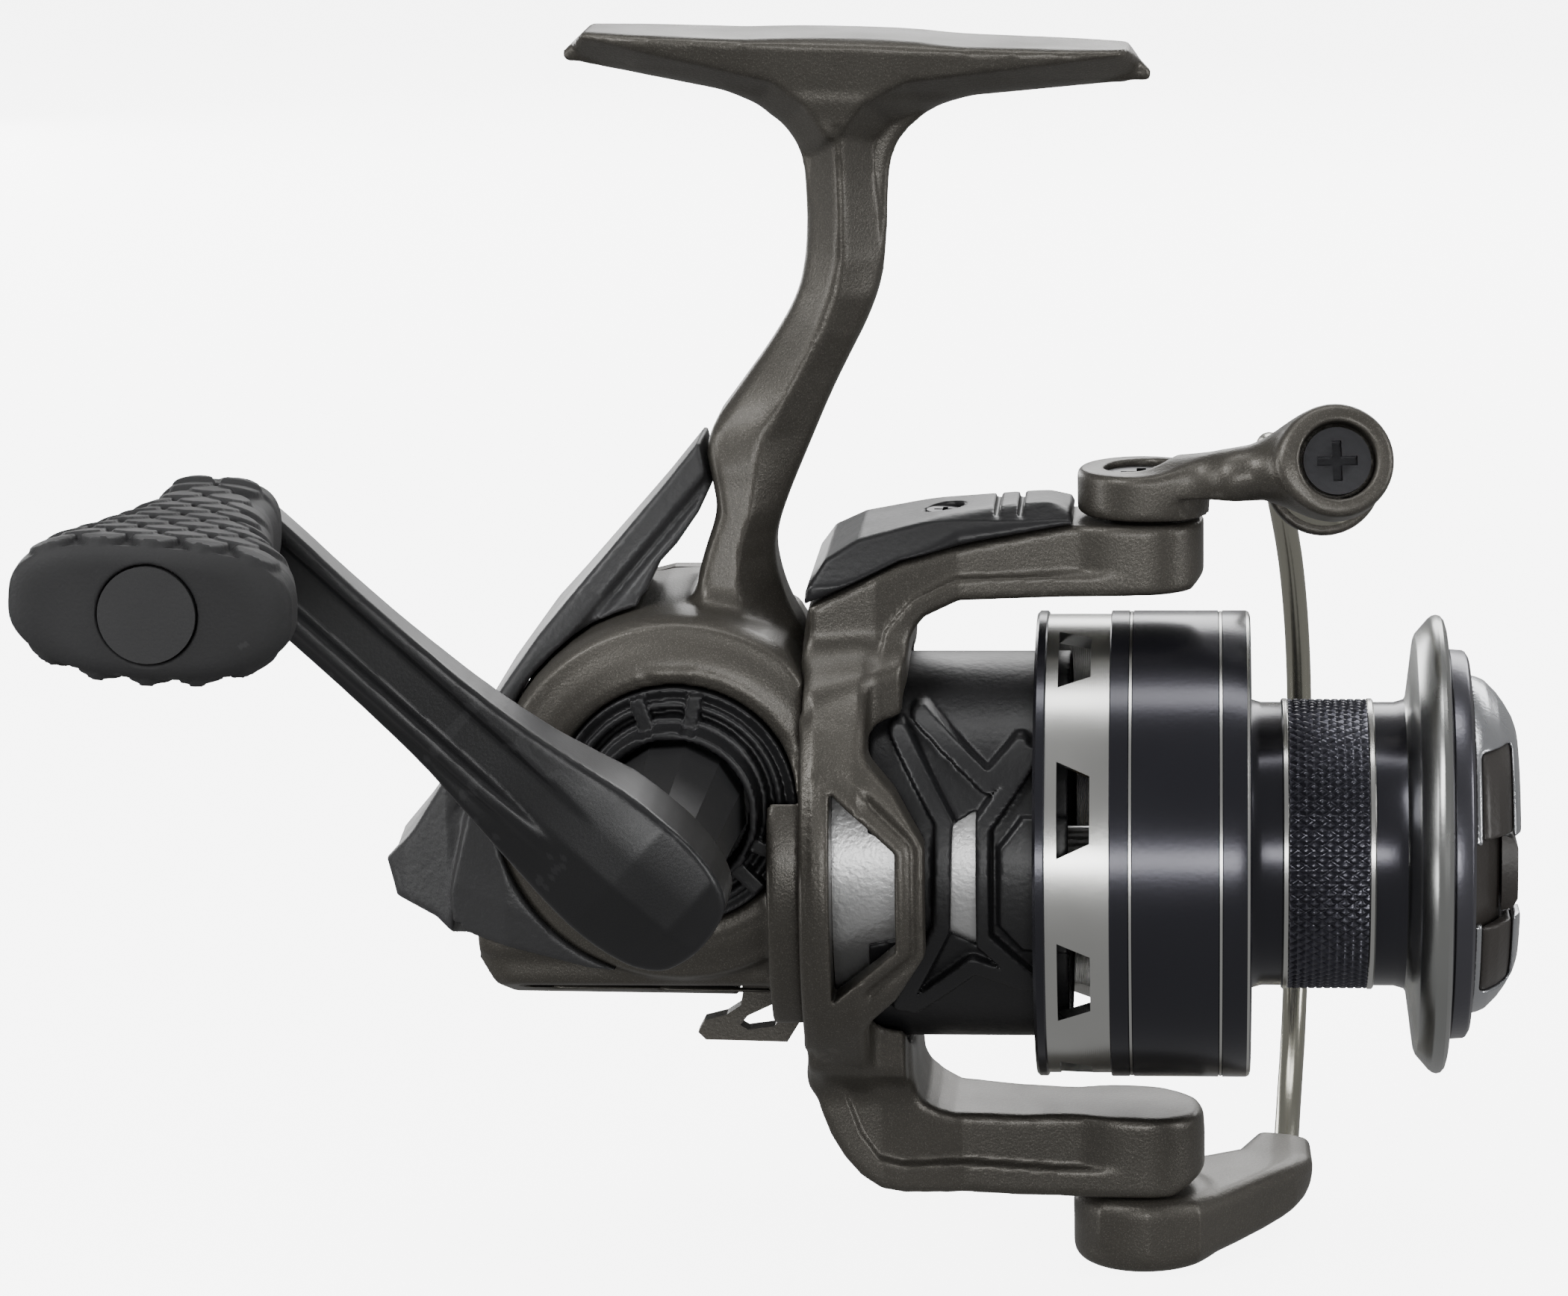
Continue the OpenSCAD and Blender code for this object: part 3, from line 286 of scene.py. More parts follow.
def finish_of(name, base, rough, metallic=0.0, coat=0.0, vary=0.1, grain=500, bump=0.2,
              flakes=0.0, wear=0.0, turned=0.0, shine=0.5):
    """A procedural finish: colour clouds, optional metal flakes, edge wear and lathe marks."""
    made = bpy.data.materials.new(name)
    made.use_nodes = True
    nodes, links = made.node_tree.nodes, made.node_tree.links
    shader = nodes["Principled BSDF"]
    shader.inputs["Metallic"].default_value = metallic
    shader.inputs["Specular IOR Level"].default_value = shine
    shader.inputs["Coat Weight"].default_value = coat
    shader.inputs["Coat Roughness"].default_value = 0.2
    place = nodes.new("ShaderNodeTexCoord").outputs["Object"]

    def noise(scale, detail=3.0):
        node = nodes.new("ShaderNodeTexNoise")
        node.inputs["Scale"].default_value = scale
        node.inputs["Detail"].default_value = detail
        links.new(place, node.inputs["Vector"])
        return node.outputs["Fac"]

    def spread(value, low, high, out_low, out_high):
        node = nodes.new("ShaderNodeMapRange")
        for key, number in (("From Min", low), ("From Max", high),
                            ("To Min", out_low), ("To Max", out_high)):
            node.inputs[key].default_value = number
        links.new(value, node.inputs["Value"])
        return node.outputs["Result"]

    def mix(share, first, second):
        node = nodes.new("ShaderNodeMix")
        node.data_type = "RGBA"
        links.new(share, node.inputs["Factor"])
        for key, value in (("A", first), ("B", second)):
            socket = [s for s in node.inputs if s.name == key and s.type == "RGBA"][0]
            if isinstance(value, bpy.types.NodeSocket):
                links.new(value, socket)
            else:
                socket.default_value = (*value, 1)
        return [s for s in node.outputs if s.type == "RGBA"][0]

    dark = [c * (1 - vary) for c in base]
    light = [c * (1 + vary) for c in base]
    colour = mix(spread(noise(60.0), 0.35, 0.65, 0, 1), dark, light)
    if flakes:
        fleck = [min(1, c * 3.2 + 0.05) for c in base]
        colour = mix(spread(noise(9000.0, 1.0), 0.56, 0.74, 0, flakes), colour, fleck)
    if wear:
        edge = nodes.new("ShaderNodeNewGeometry").outputs["Pointiness"]
        worn = [min(1, c * 1.7 + 0.015) for c in base]
        colour = mix(spread(edge, 0.52, 0.60, 0, wear), colour, worn)
    links.new(colour, shader.inputs["Base Color"])
    links.new(spread(noise(90.0), 0.3, 0.7, rough * 0.86, rough * 1.14),
              shader.inputs["Roughness"])
    if turned:
        wave = nodes.new("ShaderNodeTexWave")
        wave.bands_direction = "X"
        wave.inputs["Scale"].default_value = turned
        wave.inputs["Distortion"].default_value = 0.4
        links.new(place, wave.inputs["Vector"])
        height = wave.outputs["Fac"]
    else:
        height = noise(grain * 4, 2.0)
    relief = nodes.new("ShaderNodeBump")
    relief.inputs["Strength"].default_value = bump
    relief.inputs["Distance"].default_value = 0.0002
    links.new(height, relief.inputs["Height"])
    links.new(relief.outputs["Normal"], shader.inputs["Normal"])
    return made


BRONZE = finish_of("bronze_metallic", (0.068, 0.063, 0.054), rough=0.42, metallic=0.55, coat=0.1,
                   vary=0.08, grain=900, flakes=0.34, wear=0.25)
GUARD = finish_of("guard_charcoal", (0.030, 0.030, 0.031), rough=0.46, grain=350, bump=0.3,
                  wear=0.3, shine=0.4)
CAP = finish_of("cap_black", (0.012, 0.012, 0.013), rough=0.4, grain=350, wear=0.3, shine=0.4)
HANDLE = finish_of("handle_black", (0.013, 0.013, 0.014), rough=0.38, grain=900, bump=0.06,
                   wear=0.4, shine=0.4)
RUBBER = finish_of("knob_rubber", (0.028, 0.028, 0.029), rough=0.66, vary=0.12, grain=900,
                   wear=0.3, shine=0.3)
DRUM = finish_of("drum_satin", (0.50, 0.50, 0.50), rough=0.36, metallic=0.85, vary=0.05)
GLOSS = finish_of("spool_gloss", (0.029, 0.029, 0.037), rough=0.24, metallic=0.75, coat=0.35,
                  vary=0.05, bump=0.05)
BRIGHT = finish_of("spool_bright", (0.62, 0.62, 0.60), rough=0.24, metallic=1.0, vary=0.04,
                   bump=0.05, turned=1500)
LIP = finish_of("lip_titanium", (0.40, 0.405, 0.395), rough=0.25, metallic=1.0, vary=0.04,
                bump=0.02)
RING = finish_of("front_ring_anodised", (0.120, 0.119, 0.138), rough=0.3, metallic=1.0, coat=0.2,
                 vary=0.05, bump=0.1)
DRAG_SILVER = finish_of("drag_silver", (0.46, 0.47, 0.49), rough=0.26, metallic=0.95, coat=0.2,
                        vary=0.05, bump=0.15)
DRAG_DARK = finish_of("drag_dark", (0.034, 0.030, 0.027), rough=0.42, metallic=0.1, grain=400,
                      wear=0.3)
STEEL = finish_of("steel_ground", (0.42, 0.42, 0.42), rough=0.28, metallic=1.0, vary=0.06,
                  bump=0.15)
NICKEL = finish_of("nickel_polished", (0.42, 0.41, 0.35), rough=0.2, metallic=1.0, vary=0.04,
                   grain=300, bump=0.05)
BRASS = finish_of("gear_brass", (0.58, 0.43, 0.19), rough=0.3, metallic=1.0, vary=0.08, grain=400,
                  bump=0.15)
FELT = finish_of("felt_greased", (0.09, 0.065, 0.045), rough=0.9, vary=0.25, grain=200, bump=0.8)
INNER = finish_of("inner_plastic", (0.045, 0.045, 0.05), rough=0.45, grain=300)
SCREW = finish_of("screw_black", (0.035, 0.035, 0.038), rough=0.34, metallic=0.8, grain=300,
                  bump=0.1, wear=0.5)
KNURL = finish_of("knurl_black", (0.060, 0.060, 0.074), rough=0.3, metallic=0.8, coat=0.2,
                  vary=0.06, bump=0.05, wear=0.8)

BY_SLOT = {
    "bronze_paint": BRONZE, "guard_plastic": GUARD, "cap_plastic": CAP,
    "handle_paint": HANDLE, "knob_rubber": RUBBER, "drum_metal": DRUM, "spool_black": GLOSS,
    "spool_silver": BRIGHT, "lip_metal": LIP, "drag_silver": DRAG_SILVER,
    "drag_dark": DRAG_DARK, "steel": STEEL, "nickel": NICKEL, "gear_brass": BRASS,
    "felt": FELT, "inner_plastic": INNER, "screw_black": SCREW,
}
for part in frame["record"]["subparts"]:
    shown = frame["nodes"][part["node"]]
    shown.data.materials.clear()
    shown.data.materials.append(BY_SLOT[part["material_slot"]])
# these steel screws are blackened where they show
for name in ("arm_cover_screw", "bail_pivot_screws"):
    frame["nodes"][name].data.materials[0] = SCREW


# ---------- foot, stem and housing ----------

FOOT_HALF = 29.75
FOOT_TILT = math.radians(2.4)
SEAT_Z = -AXIS_Z
HOUSING_R = 19  # the gear housing about the crank
HOUSING_LOW = -15.4  # its flat underside
FRONT_LINE = [
    (20, -6.3), (23.7, -6.7), (27.8, -8.3), (31.1, -9.0), (33.5, -8.8), (37.6, -7.3),
    (42.5, -5.2), (47.4, -3.1), (51.4, -1.1), (55.4, 1.0), (59.4, 2.4), (63.4, 2.8), (69, 3.0),
    (73, 3.5), (77, 4.8), (80, 6.2),
]
REAR_LINE = [
    (20, -15.0), (25, -16.6), (29, -16.7), (32, -15.9), (36, -14.5), (38.6, -14.9), (43.5, -15.9),
    (49, -11.9), (53, -9.0), (56.7, -6.8), (59.5, -5.8), (63.5, -5.3), (69, -5.4),
    (73, -5.8), (77, -6.8), (80, -8.0),
]


def around_crank(radius, degrees):
    """Points of an arc about the crank, seen from the handle side."""
    return [(CRANK_X + radius * math.cos(a), CRANK_Z + radius * math.sin(a))
            for a in map(math.radians, degrees)]


def housing_outline():
    """The gear housing from the side, in (x, z)."""
    arc = around_crank(HOUSING_R, range(55, 168, 7))
    return [(-5.4, HOUSING_LOW), (-5.4, 20.4)] + arc + [(-38.6, 6), (-40.8, -6.6), (-36.4, -14.4)]


def build_casting():
    f = Field((-44, -24, -22), (33, 24, 86), 0.4)
    x, y, z = f.x, f.y, f.z
    # foot
    rise = z - SEAT_Z
    foot_x = x * math.cos(FOOT_TILT) - rise * math.sin(FOOT_TILT)
    foot_z = x * math.sin(FOOT_TILT) + rise * math.cos(FOOT_TILT)
    h = FOOT_HALF
    plate = outline(foot_x, foot_z, [
        (-h + 2.6, 0), (h - 2.6, 0), (h, -2.6), (h - 0.4, -3.5), (12, -3.4), (-12, -3.4),
        (-h + 0.4, -3.5), (-h, -2.6),
    ])
    web = outline(foot_x, foot_z, rounded([
        (-h + 2, -2.6), (h - 2, -2.6), (h - 3, -3.6), (18, -4.7), (10, -5.6), (4.6, -6.8),
        (-7.4, -7.2), (-11, -6.0), (-19.3, -4.8), (-h + 3, -3.7),
    ], 1))
    stem_line = [(b, a) for a, b in FRONT_LINE] + [(b, a) for a, b in reversed(REAR_LINE)]
    side = join(join(plate, web, 1.0), outline(x, z, rounded(stem_line, 2)), 7.0)
    # half thickness: a flat facet under the foot runs down into a ridge along the stem
    depth = -foot_z
    half = np.interp(depth, [1.2, 7.6, 13.6, 21.6, 33.6, 45.6, 58.6, 73.6],
                     [7.5, 5.8, 5.0, 4.8, 5.2, 6.2, 8.0, 9.5])
    tip = np.interp(np.abs(foot_x), [10, h - 8, h - 1.8, h], [7.5, 6.5, 4.8, 2.6])
    half = np.where(depth < 9, np.minimum(half, tip - 0.25 * np.clip(depth, 0, 5)), half)
    front = np.interp(z, [p[0] for p in FRONT_LINE], [p[1] for p in FRONT_LINE])
    rear = np.interp(z, [p[0] for p in REAR_LINE], [p[1] for p in REAR_LINE])
    across = (x - rear) / (front - rear)
    plain = half * np.interp(across, [-0.1, 0.1, 0.52, 1.02], [0.72, 1.0, 1.0, 0.38])
    facet = outline(foot_x, foot_z, [
        (-27.5, -0.4), (26.4, -0.4), (5.4, -3.6), (1.2, -5.9), (-1.5, -9.6), (-2.5, -9.6),
        (-4.8, -6.3), (-8.2, -4.0),
    ])
    crest = line_distance(x, z, [(-1.8, 75), (-1.6, 66), (-1.7, 61.5), (-2.4, 58), (-3.7, 54.5),
                                 (-5.6, 51), (-7.6, 47), (-9.4, 42.5), (-10.5, 38)])
    fall = np.maximum(np.minimum(facet, crest), 0) * np.interp(z, [58, 72], [0.9, 1.35])
    ridged = half - fall - 0.3 * np.exp(-(crest / 0.35) ** 2) * step_up(z, 46, 54)
    half = plain + (np.maximum(ridged, 0.8) - plain) * step_up(z, 40, 54)
    d = common(side, np.abs(y) - half, 0.9)
    # housing, its near face as a relief
    shape = outline(x, z, housing_outline())
    r = np.hypot(x - CRANK_X, z - CRANK_Z)
    near = 12.6 + 1.0 * step_up(-shape, 0, 1.8)
    near = np.where(r < 19.2, np.maximum(near, 15.2 - 2.2 * step_up(r, 18.0, 19.2)), near)
    near = np.maximum(near, 16.4 - 1.2 * step_up(r, 14.4, 18.4) - 8 * step_up(r, 18.4, 20))
    near = np.maximum(near, 17.0 - 30 * np.abs(r - 13.7) ** 2 / 2)
    near = near - 0.6 * step_up(-8.4 - z, 0, 0.5) * step_up(r, 18.6, 19.4)
    near = soften(near)
    slab = common(shape, common(-y - near, y - 11.5), 0.7)
    underside = HOUSING_LOW + 0.44 * np.maximum(np.abs(y) - 4.5, 0) - z
    slab = common(slab, underside, 0.8)
    d = join(d, slab, 2.4)
    flange = common(f.rod((-9, 0, 0), (-5.4, 0, 0), 21.2, 0.6), HOUSING_LOW - z, 0.6)
    d = join(d, flange, 1.0)
    d = join(d, f.rod((-9, 0, 0), (-3, 0, 0), 17.8))
    d = join(d, f.rod((-9, 0, 0), (0.5, 0, 0), 17.0))
    # the cavity and the bores, as in the CAD part
    room = common(outline(x, z, [
        (p[0] + 1.8 if p[0] < CRANK_X else min(p[0], -7.2), p[1] - 1.6 if p[1] > 0 else p[1] + 1.7)
        for p in housing_outline()
    ]), np.abs(y + 0.05) - 11.55)
    d = cut(d, room)
    d = cut(d, common(f.rod((-8, 0, 0), (-1.4, 0, 0), 15.8), f.box((-8, -9, -9), (-1, 9, 17))))
    d = cut(d, f.rod((-3, 0, 0), (2, 0, 0), 4.2))
    d = cut(d, f.rod((CRANK_X, 1.8, CRANK_Z), (CRANK_X, 7, CRANK_Z), 16.1))
    d = cut(d, f.rod((CRANK_X, -19, CRANK_Z), (CRANK_X, -13.4, CRANK_Z), 12.45), 0.3)
    d = cut(d, f.rod((CRANK_X, -14, CRANK_Z), (CRANK_X, -10, CRANK_Z), 6.6))
    d = cut(d, f.rod((CRANK_X, 11.2, CRANK_Z), (CRANK_X, 24, CRANK_Z), 12.5))
    d = cut(d, f.box((-13.2, -7.4, -18.5), (-6.2, -0.5, -11)))
    # recess where the rear guard fits
    d = cut(d, common(f.box((-44, -20, -9), (-39.2, 20, 6)), 19 - r))
    cast("frame_casting", f, d, "body", BRONZE, ["body_frame"])


def build_guard():
    f = Field((-51, -16.6, -13), (-12, 16, 46), 0.3)
    x, y, z = f.x, f.y, f.z
    lifted = z - 0.28 * np.abs(y) * step_up(4 - z, 0, 8)
    shape = outline(x, lifted, [
        (-16.3, 43.3), (-15.2, 38.6), (-16.4, 36), (-18.6, 32.9), (-20.4, 31), (-21.7, 28.2),
        (-22.3, 27.6),
    ] + around_crank(HOUSING_R + 0.3, range(103, 169, 7)) + [
        (-39, 6), (-41.2, -6.8), (-42, -9.9), (-43.8, -8.2), (-48.3, -5.9), (-49.4, -1),
        (-45.9, 4), (-37.8, 17), (-32.7, 24.1), (-20.2, 38.5),
    ])
    edge = line_distance(x, z, [(-15, 44.5), (-20.2, 38.5), (-32.7, 24.1), (-37.8, 17), (-45.9, 4),
                                (-49.6, -1)])
    side = np.interp(z, [-12, 17, 23, 28, 36, 44], [14, 13.8, 11.4, 8.2, 6.2, 5.2])
    side = np.minimum(side, np.interp(x, [-50, -47, -42, -36], [6.4, 9.2, 12.6, 14]))
    bands = 0.9 * step_up(edge, 3.6, 3.9) - 1.0 * step_up(edge, 2.5, 2.8)
    bands = bands + 0.8 * step_up(edge, 8.4, 8.8) - 1.1 * step_up(edge, 6.2, 6.6)
    side = side + bands * step_up(z, 4, 10)
    d = common(shape, np.abs(y) - soften(side), 0.8)
    # the part that laps over the rear corner of the housing, on the handle side
    r = np.hypot(x - CRANK_X, z - CRANK_Z)
    lap = outline(x, z, [(-33, 20), (-39, 10), (-42, -2), (-42, -5.8), (-40.6, -6.2), (-27.5, -9.6),
                         (-14, -10.6), (-14, -8), (-30, 10)])
    lap = common(lap, 18.9 - r)
    sunk = 15.3 - 0.3 * np.maximum(-36 - x, 0) - 0.5 * np.maximum(-z - 0.35 * (x + 44), 0) / 4
    d = join(d, common(lap, common(-y - sunk, y + 13.0, 0.3), 0.5), 0.8)
    cast("guard_shell", f, d, "body", GUARD, ["rear_guard"])


def build_bearing_cap():
    f = Field((CRANK_X - 12.6, -20.8, CRANK_Z - 12.6), (CRANK_X + 12.6, -13.0, CRANK_Z + 12.6),
              0.21)
    x, y, z = f.x, f.y, f.z
    u, w = x - CRANK_X, z - CRANK_Z
    r = np.hypot(u, w)
    # rings and grooves, seen from the crank
    near = np.interp(r, [7.6, 7.75, 8.6, 8.8, 9.4, 9.5, 10.1, 10.2, 10.9, 11.0, 12.2],
                     [16.6, 20.5, 20.5, 17.6, 17.6, 16.2, 16.2, 17.2, 17.2, 16.4, 16.9])
    for angle in (79, 108, -25, -45):
        a = math.radians(angle)
        along = u * math.cos(a) + w * math.sin(a)
        beside = np.abs(w * math.cos(a) - u * math.sin(a))
        near = np.where((along > 8.4) & (along < 11.9) & (beside < 0.75), 17.9, near)
    d = common(common(-y - near, y + 13.4), r - 12.2, 0.3)
    d = cut(d, r - 4)
    cast("bearing_cap_rings", f, d, "body", CAP, ["bearing_cap"])


# ---------- rotor ----------

BAIL_BOSS_R = 6.5  # round the bail pivots, on the rotor and on the bail arm
ROTOR_BORE, ROTOR_INNER, ROTOR_OUTER = 18.2, 20.8, 25.3
ARM_PLAN = mirrored([(-6, 12.5), (2, 11.5), (10, 7.6), (20, BAIL_BOSS_R), (BAIL_X, BAIL_BOSS_R)])


def arm_plan(f):
    """The rotor arm seen from above, round at the bail pivot."""
    return join(outline(f.x, f.y, ARM_PLAN), np.hypot(f.x - BAIL_X, f.y) - BAIL_BOSS_R)


def build_rotor():
    f = Field((-6.5, -27, -39), (37, 27, 40), 0.33)
    x, y, z = f.x, f.y, f.z
    r = np.sqrt(y * y + z * z)
    d = f.turned([
        (-5, ROTOR_BORE), (-5, 24.6), (-4.2, ROTOR_OUTER), (0.2, ROTOR_OUTER), (1, 24.6),
        (1, ROTOR_INNER), (-2.6, ROTOR_INNER), (-2.6, ROTOR_BORE),
    ])
    # hoop on each flank, with two raised rims round the window
    window = outline(x, z, [(-2.4, 10.8), (4.1, 5), (4.1, -5), (-2.4, -10.8)])
    band = outline(x, z, mirrored([(-5.5, 17.0), (-1.6, 16.4), (4.0, 10.6), (7.0, 5.6)]))
    rim = soften(25.0 - 0.7 * step_up(window, 1.1, 1.5) + 0.7 * step_up(window, 2.0, 2.4))
    hoop = common(common(r - rim, ROTOR_INNER - r, 0.2), band, 0.8)
    hoop = common(hoop, np.abs(z) - 17)
    d = join(d, hoop, 0.8)
    upper = outline(x, z, [
        (-5, 20), (-5, 27.4), (-0.6, 29.4), (4.2, 31.4), (12.2, 33.0), (20.9, 34.5), (35, 34.5),
        (35, 28.8), (33.4, 27.4), (10, 27.1), (6.6, 25.8), (4.6, 23.6), (4.0, 20),
    ])
    lower = outline(x, z, rounded([
        (-5, -18), (-5, -24), (-3, -29.4), (0.4, -33.6), (5.1, -35.2), (19.6, -36.5),
        (35.6, -36.7), (35.6, -29.0), (33.4, -28.0), (10, -27.6), (6.6, -26.2), (4.6, -23.8),
        (4.0, -18),
    ], 1))
    plan = arm_plan(f)
    upper_rim = line_distance(x, z, [(4.2, 20), (5.0, 23.6), (6.8, 25.6), (10, 26.9), (36, 27.4)])
    lower_rim = line_distance(x, z, [(-5.4, -24), (-3.4, -29.6), (-0.8, -33.4), (3.0, -35.0),
                                     (19.6, -36.7), (36, -36.9)])
    upper_inset = 0.8 * step_up(upper_rim, 2.3, 2.7)
    lower_inset = 0.9 * step_up(lower_rim, 3.2, 3.7)
    boss = step_up(np.hypot(x - BAIL_X, y), 6.6, 8.6)
    arms = join(common(upper, plan + upper_inset * boss, 0.8),
                common(lower, plan + lower_inset * boss, 1.0))
    # the root of each arm spreads along the ring
    roots = common(f.turned([(-5, ROTOR_INNER), (-5, ROTOR_OUTER), (4.4, 25.0),
                             (4.4, ROTOR_INNER)]),
                   np.abs(y) - np.interp(x, [-5, 4.4], [16.5, 13.0]), 0.8)
    d = join(d, join(arms, common(roots, 14.5 - np.abs(z)), 2.5), 1.6)
    d = cut(d, common(window, 20.0 - r), 0.5)
    d = cut(d, f.rod((-2.6, 0, 0), (8, 0, 0), ROTOR_INNER))
    d = cut(d, f.rod((-8, 0, 0), (-2, 0, 0), ROTOR_BORE))
    d = cut(d, f.box((4, -3.4, 30), (19, 3.4, 36)))
    d = join(d, f.rod((BAIL_X, 0, 34.3), (BAIL_X, 0, 38.1), 3))
    cast("rotor_casting", f, d, "rotor", BRONZE, ["rotor_frame"])


def build_insert():
    f = Field((0, -22.6, -22.6), (23, 22.6, 22.6), 0.25)
    x, y, z = f.x, f.y, f.z
    r = np.sqrt(y * y + z * z)
    left = line_distance(x, z, [(4.2, 15.2), (8.9, 7.1), (8.6, -3.5), (4.2, -12.6)])
    right = line_distance(x, z, [(17.4, 13.2), (12.6, 6.7), (12.5, -4.7), (17.6, -9.8)])
    top = line_distance(x, z, [(6.4, 16.6), (13.2, 10.7), (16.4, 14.0)])
    low = line_distance(x, z, [(5.4, -12.9), (11.6, -7.8), (16.8, -9.9)])
    ribs = np.minimum(np.minimum(left, right), np.minimum(top, low))
    panel = outline(x, z, [(14.2, 4.6), (16.6, 7.6), (22, 7.6), (22, -6.6), (16.6, -6.2),
                           (14.2, -3.4)])
    outer = 19.9 + 1.3 * (1 - step_up(ribs, 0.8, 1.15)) + 0.8 * (1 - step_up(panel, -0.3, 0.1))
    d = common(common(r - outer, 19.25 - r), np.abs(x - 11.15) - 10.05, 0.3)
    slit = outline(x, z, [(9.7, 6.6), (12.0, 8.0), (12.0, -5.6), (9.4, -4.2)])
    d = cut(d, slit, 0.2)
    d = cut(d, outline(x, z, [(0, 6), (4.4, 5), (4.4, -5), (0, -6)]))
    cast("rotor_skin", f, d, "rotor", CAP, ["rotor_insert"])


def build_arm_cover():
    f = Field((-7, -14, 25), (24, 14, 39), 0.22)
    x, y, z = f.x, f.y, f.z
    top = outline(x, z, [
        (-5.4, 27.7), (-0.6, 29.7), (4.2, 31.7), (12.2, 33.3), (20.9, 34.7), (21.6, 34.7),
        (21.3, 35.9), (18.9, 36.9), (7.9, 35.5), (-0.1, 33.7), (-3.4, 31.9), (-5.2, 29.2),
    ])
    roof = outline(y, z, [(12, 24), (12, 29.6), (6.4, 35.2), (3.2, 36.6), (-3.2, 36.6),
                          (-6.4, 35.2), (-12, 29.6), (-12, 24)])
    d = common(common(top, arm_plan(f), 0.5), roof, 0.5)
    d = cut(d, f.rod((8.4, 0, 25), (8.4, 0, 40), 0.95))
    d = cut(d, f.rod((8.4, 0, 34.6), (8.4, 0, 40), 2.05), 0.3)
    # steps across the cover's front end
    for at in (13.6, 16.0):
        d = cut(d, f.box((at, -9, 35.4), (at + 0.5, 9, 39)), 0.3)
    cast("arm_cover_shell", f, d, "rotor", CAP, ["arm_cover"])


# ---------- crank and knob ----------

ARM_INNER = -46.4  # the face of the arm next to the reel, at the knob's end
KNOB_INNER = -50.9


def tilted(x, z, angle):
    """Stands a piece at (x, z), turned about its own Y axis."""
    return Matrix.Translation((x, 0, z)) @ Euler((0, angle, 0)).to_matrix().to_4x4()


def build_crank_arm():
    f = Field((-9, -54.5, -9), (ARM_LENGTH + 7, -41, 9), 0.25)
    u, y, w = f.x, f.y, f.z
    plan = outline(u, w, rounded(mirrored([
        (-7.6, 2.0), (-6.4, 5.4), (-1, 7.2), (6, 7.1), (11, 6.3), (18, 5.1), (26, 4.3),
        (40, 4.1), (ARM_LENGTH - 4, 4.4), (ARM_LENGTH + 2.2, 4.2), (ARM_LENGTH + 4, 2.0),
    ]), 2))
    out = np.interp(u, [-8, -4, 3, 14, 24, ARM_LENGTH + 5],
                    [-51.0, -52.6, -53.2, -52.3, -51.6, -50.2])
    inner = np.interp(u, [-8, 8, 11, 16, 35, 60],
                      [-42.4, -42.4, -43.6, -45, ARM_INNER, ARM_INNER])
    # faceted boss, its ridge in line with the lower rail; then two rails with a channel between
    boss = 1 - step_up(u, 7, 19)
    out = out + boss * (0.42 * np.maximum(w - 0.8, 0) + 0.05 * np.maximum(-w - 2.4, 0) ** 1.6)
    low_rail = 1.0 * (1 - step_up(w, 1.3, 1.6)) + 0.35 * step_up(w, 2.9, 3.2)
    channel = np.minimum(low_rail, 1.0 * step_up(w, -2.7, -2.4)) + 0.35 * step_up(w, 2.9, 3.2)
    out = out + (1 - boss) * channel * step_up(ARM_LENGTH + 2 - u, 0, 2)
    out = soften(out)
    d = common(plan, common(out - y, y - inner, 0.6), 0.7)
    d = cut(d, f.box((-8, -48.6, -2.7), (9.6, -40, 2.7)), 0.3)
    d = cut(d, f.rod((ARM_LENGTH, -60, 0), (ARM_LENGTH, -40, 0), 2.2))
    cast("crank_arm", f, d, "crank", HANDLE, ["handle_arm"],
         tilted(CRANK_X, CRANK_Z, -ARM_ANGLE))


def build_knob():
    end = KNOB_END
    f = Field((-14, end - 0.6, -8.6), (14, -50, 8.6), 0.21)
    x, y, z = f.x, f.y, f.z
    from_end = y - end
    wide = np.interp(from_end, [0, 1.4, 4, 8, 14, 22, 30, 38],
                     [11.8, 12.5, 12.6, 11.8, 9.4, 7.4, 6.1, 5.8])
    high = np.interp(from_end, [0, 3, 12, 24, 38], [5.9, 6.3, 5.9, 5.3, 5.2])
    # rows of flat ovals on the top and the bottom, each lapping the next
    row_gap, col_gap = 2.75, 4.5
    rows = (from_end - 3.2) / row_gap
    bumps = np.zeros(np.broadcast_shapes(x.shape, y.shape), np.float32)
    for shift in (0, 1):
        row = np.round((rows - shift) / 2) * 2 + shift
        in_range = (row > -0.5) & (row < 11.5)
        col = np.round((x - shift * col_gap / 2) / col_gap)
        du = (x - shift * col_gap / 2 - col * col_gap) / 2.12
        dv = (rows - row) * row_gap / 2.45
        q = np.sqrt(du * du + dv * dv)
        fits = np.abs(col * col_gap + shift * col_gap / 2) < wide - 2.2
        rise = (0.58 - 0.2 * dv) * (1 - step_up(q, 0.9, 1.0))
        bumps = np.maximum(bumps, np.where(in_range & fits, rise, 0))
    high = high - 0.45 * step_up(from_end, 0.9, 1.4) * (1 - step_up(from_end, 33.5, 34.2)) + bumps
    power = np.where(z > 0, 3.2, 2.4)
    q = ((np.abs(x) / wide) ** power + (np.abs(z) / high) ** power) ** (1 / power)
    d = (q - 1) * np.minimum(wide, high) * 0.9
    d = common(d, np.abs(y - (end + KNOB_INNER) / 2) - (KNOB_INNER - end) / 2, 1.6)
    d = cut(d, f.rod((0, end - 4, 0), (0, end + 2.2, 0), 4.45), 0.25)
    d = cut(d, f.rod((0, end + 1.8, 0), (0, -40, 0), 3.6))
    cast("knob_grip", f, d, "knob", RUBBER, ["handle_knob"],
         tilted(KNOB_X, KNOB_Z, math.radians(4)))


# ---------- bail ----------

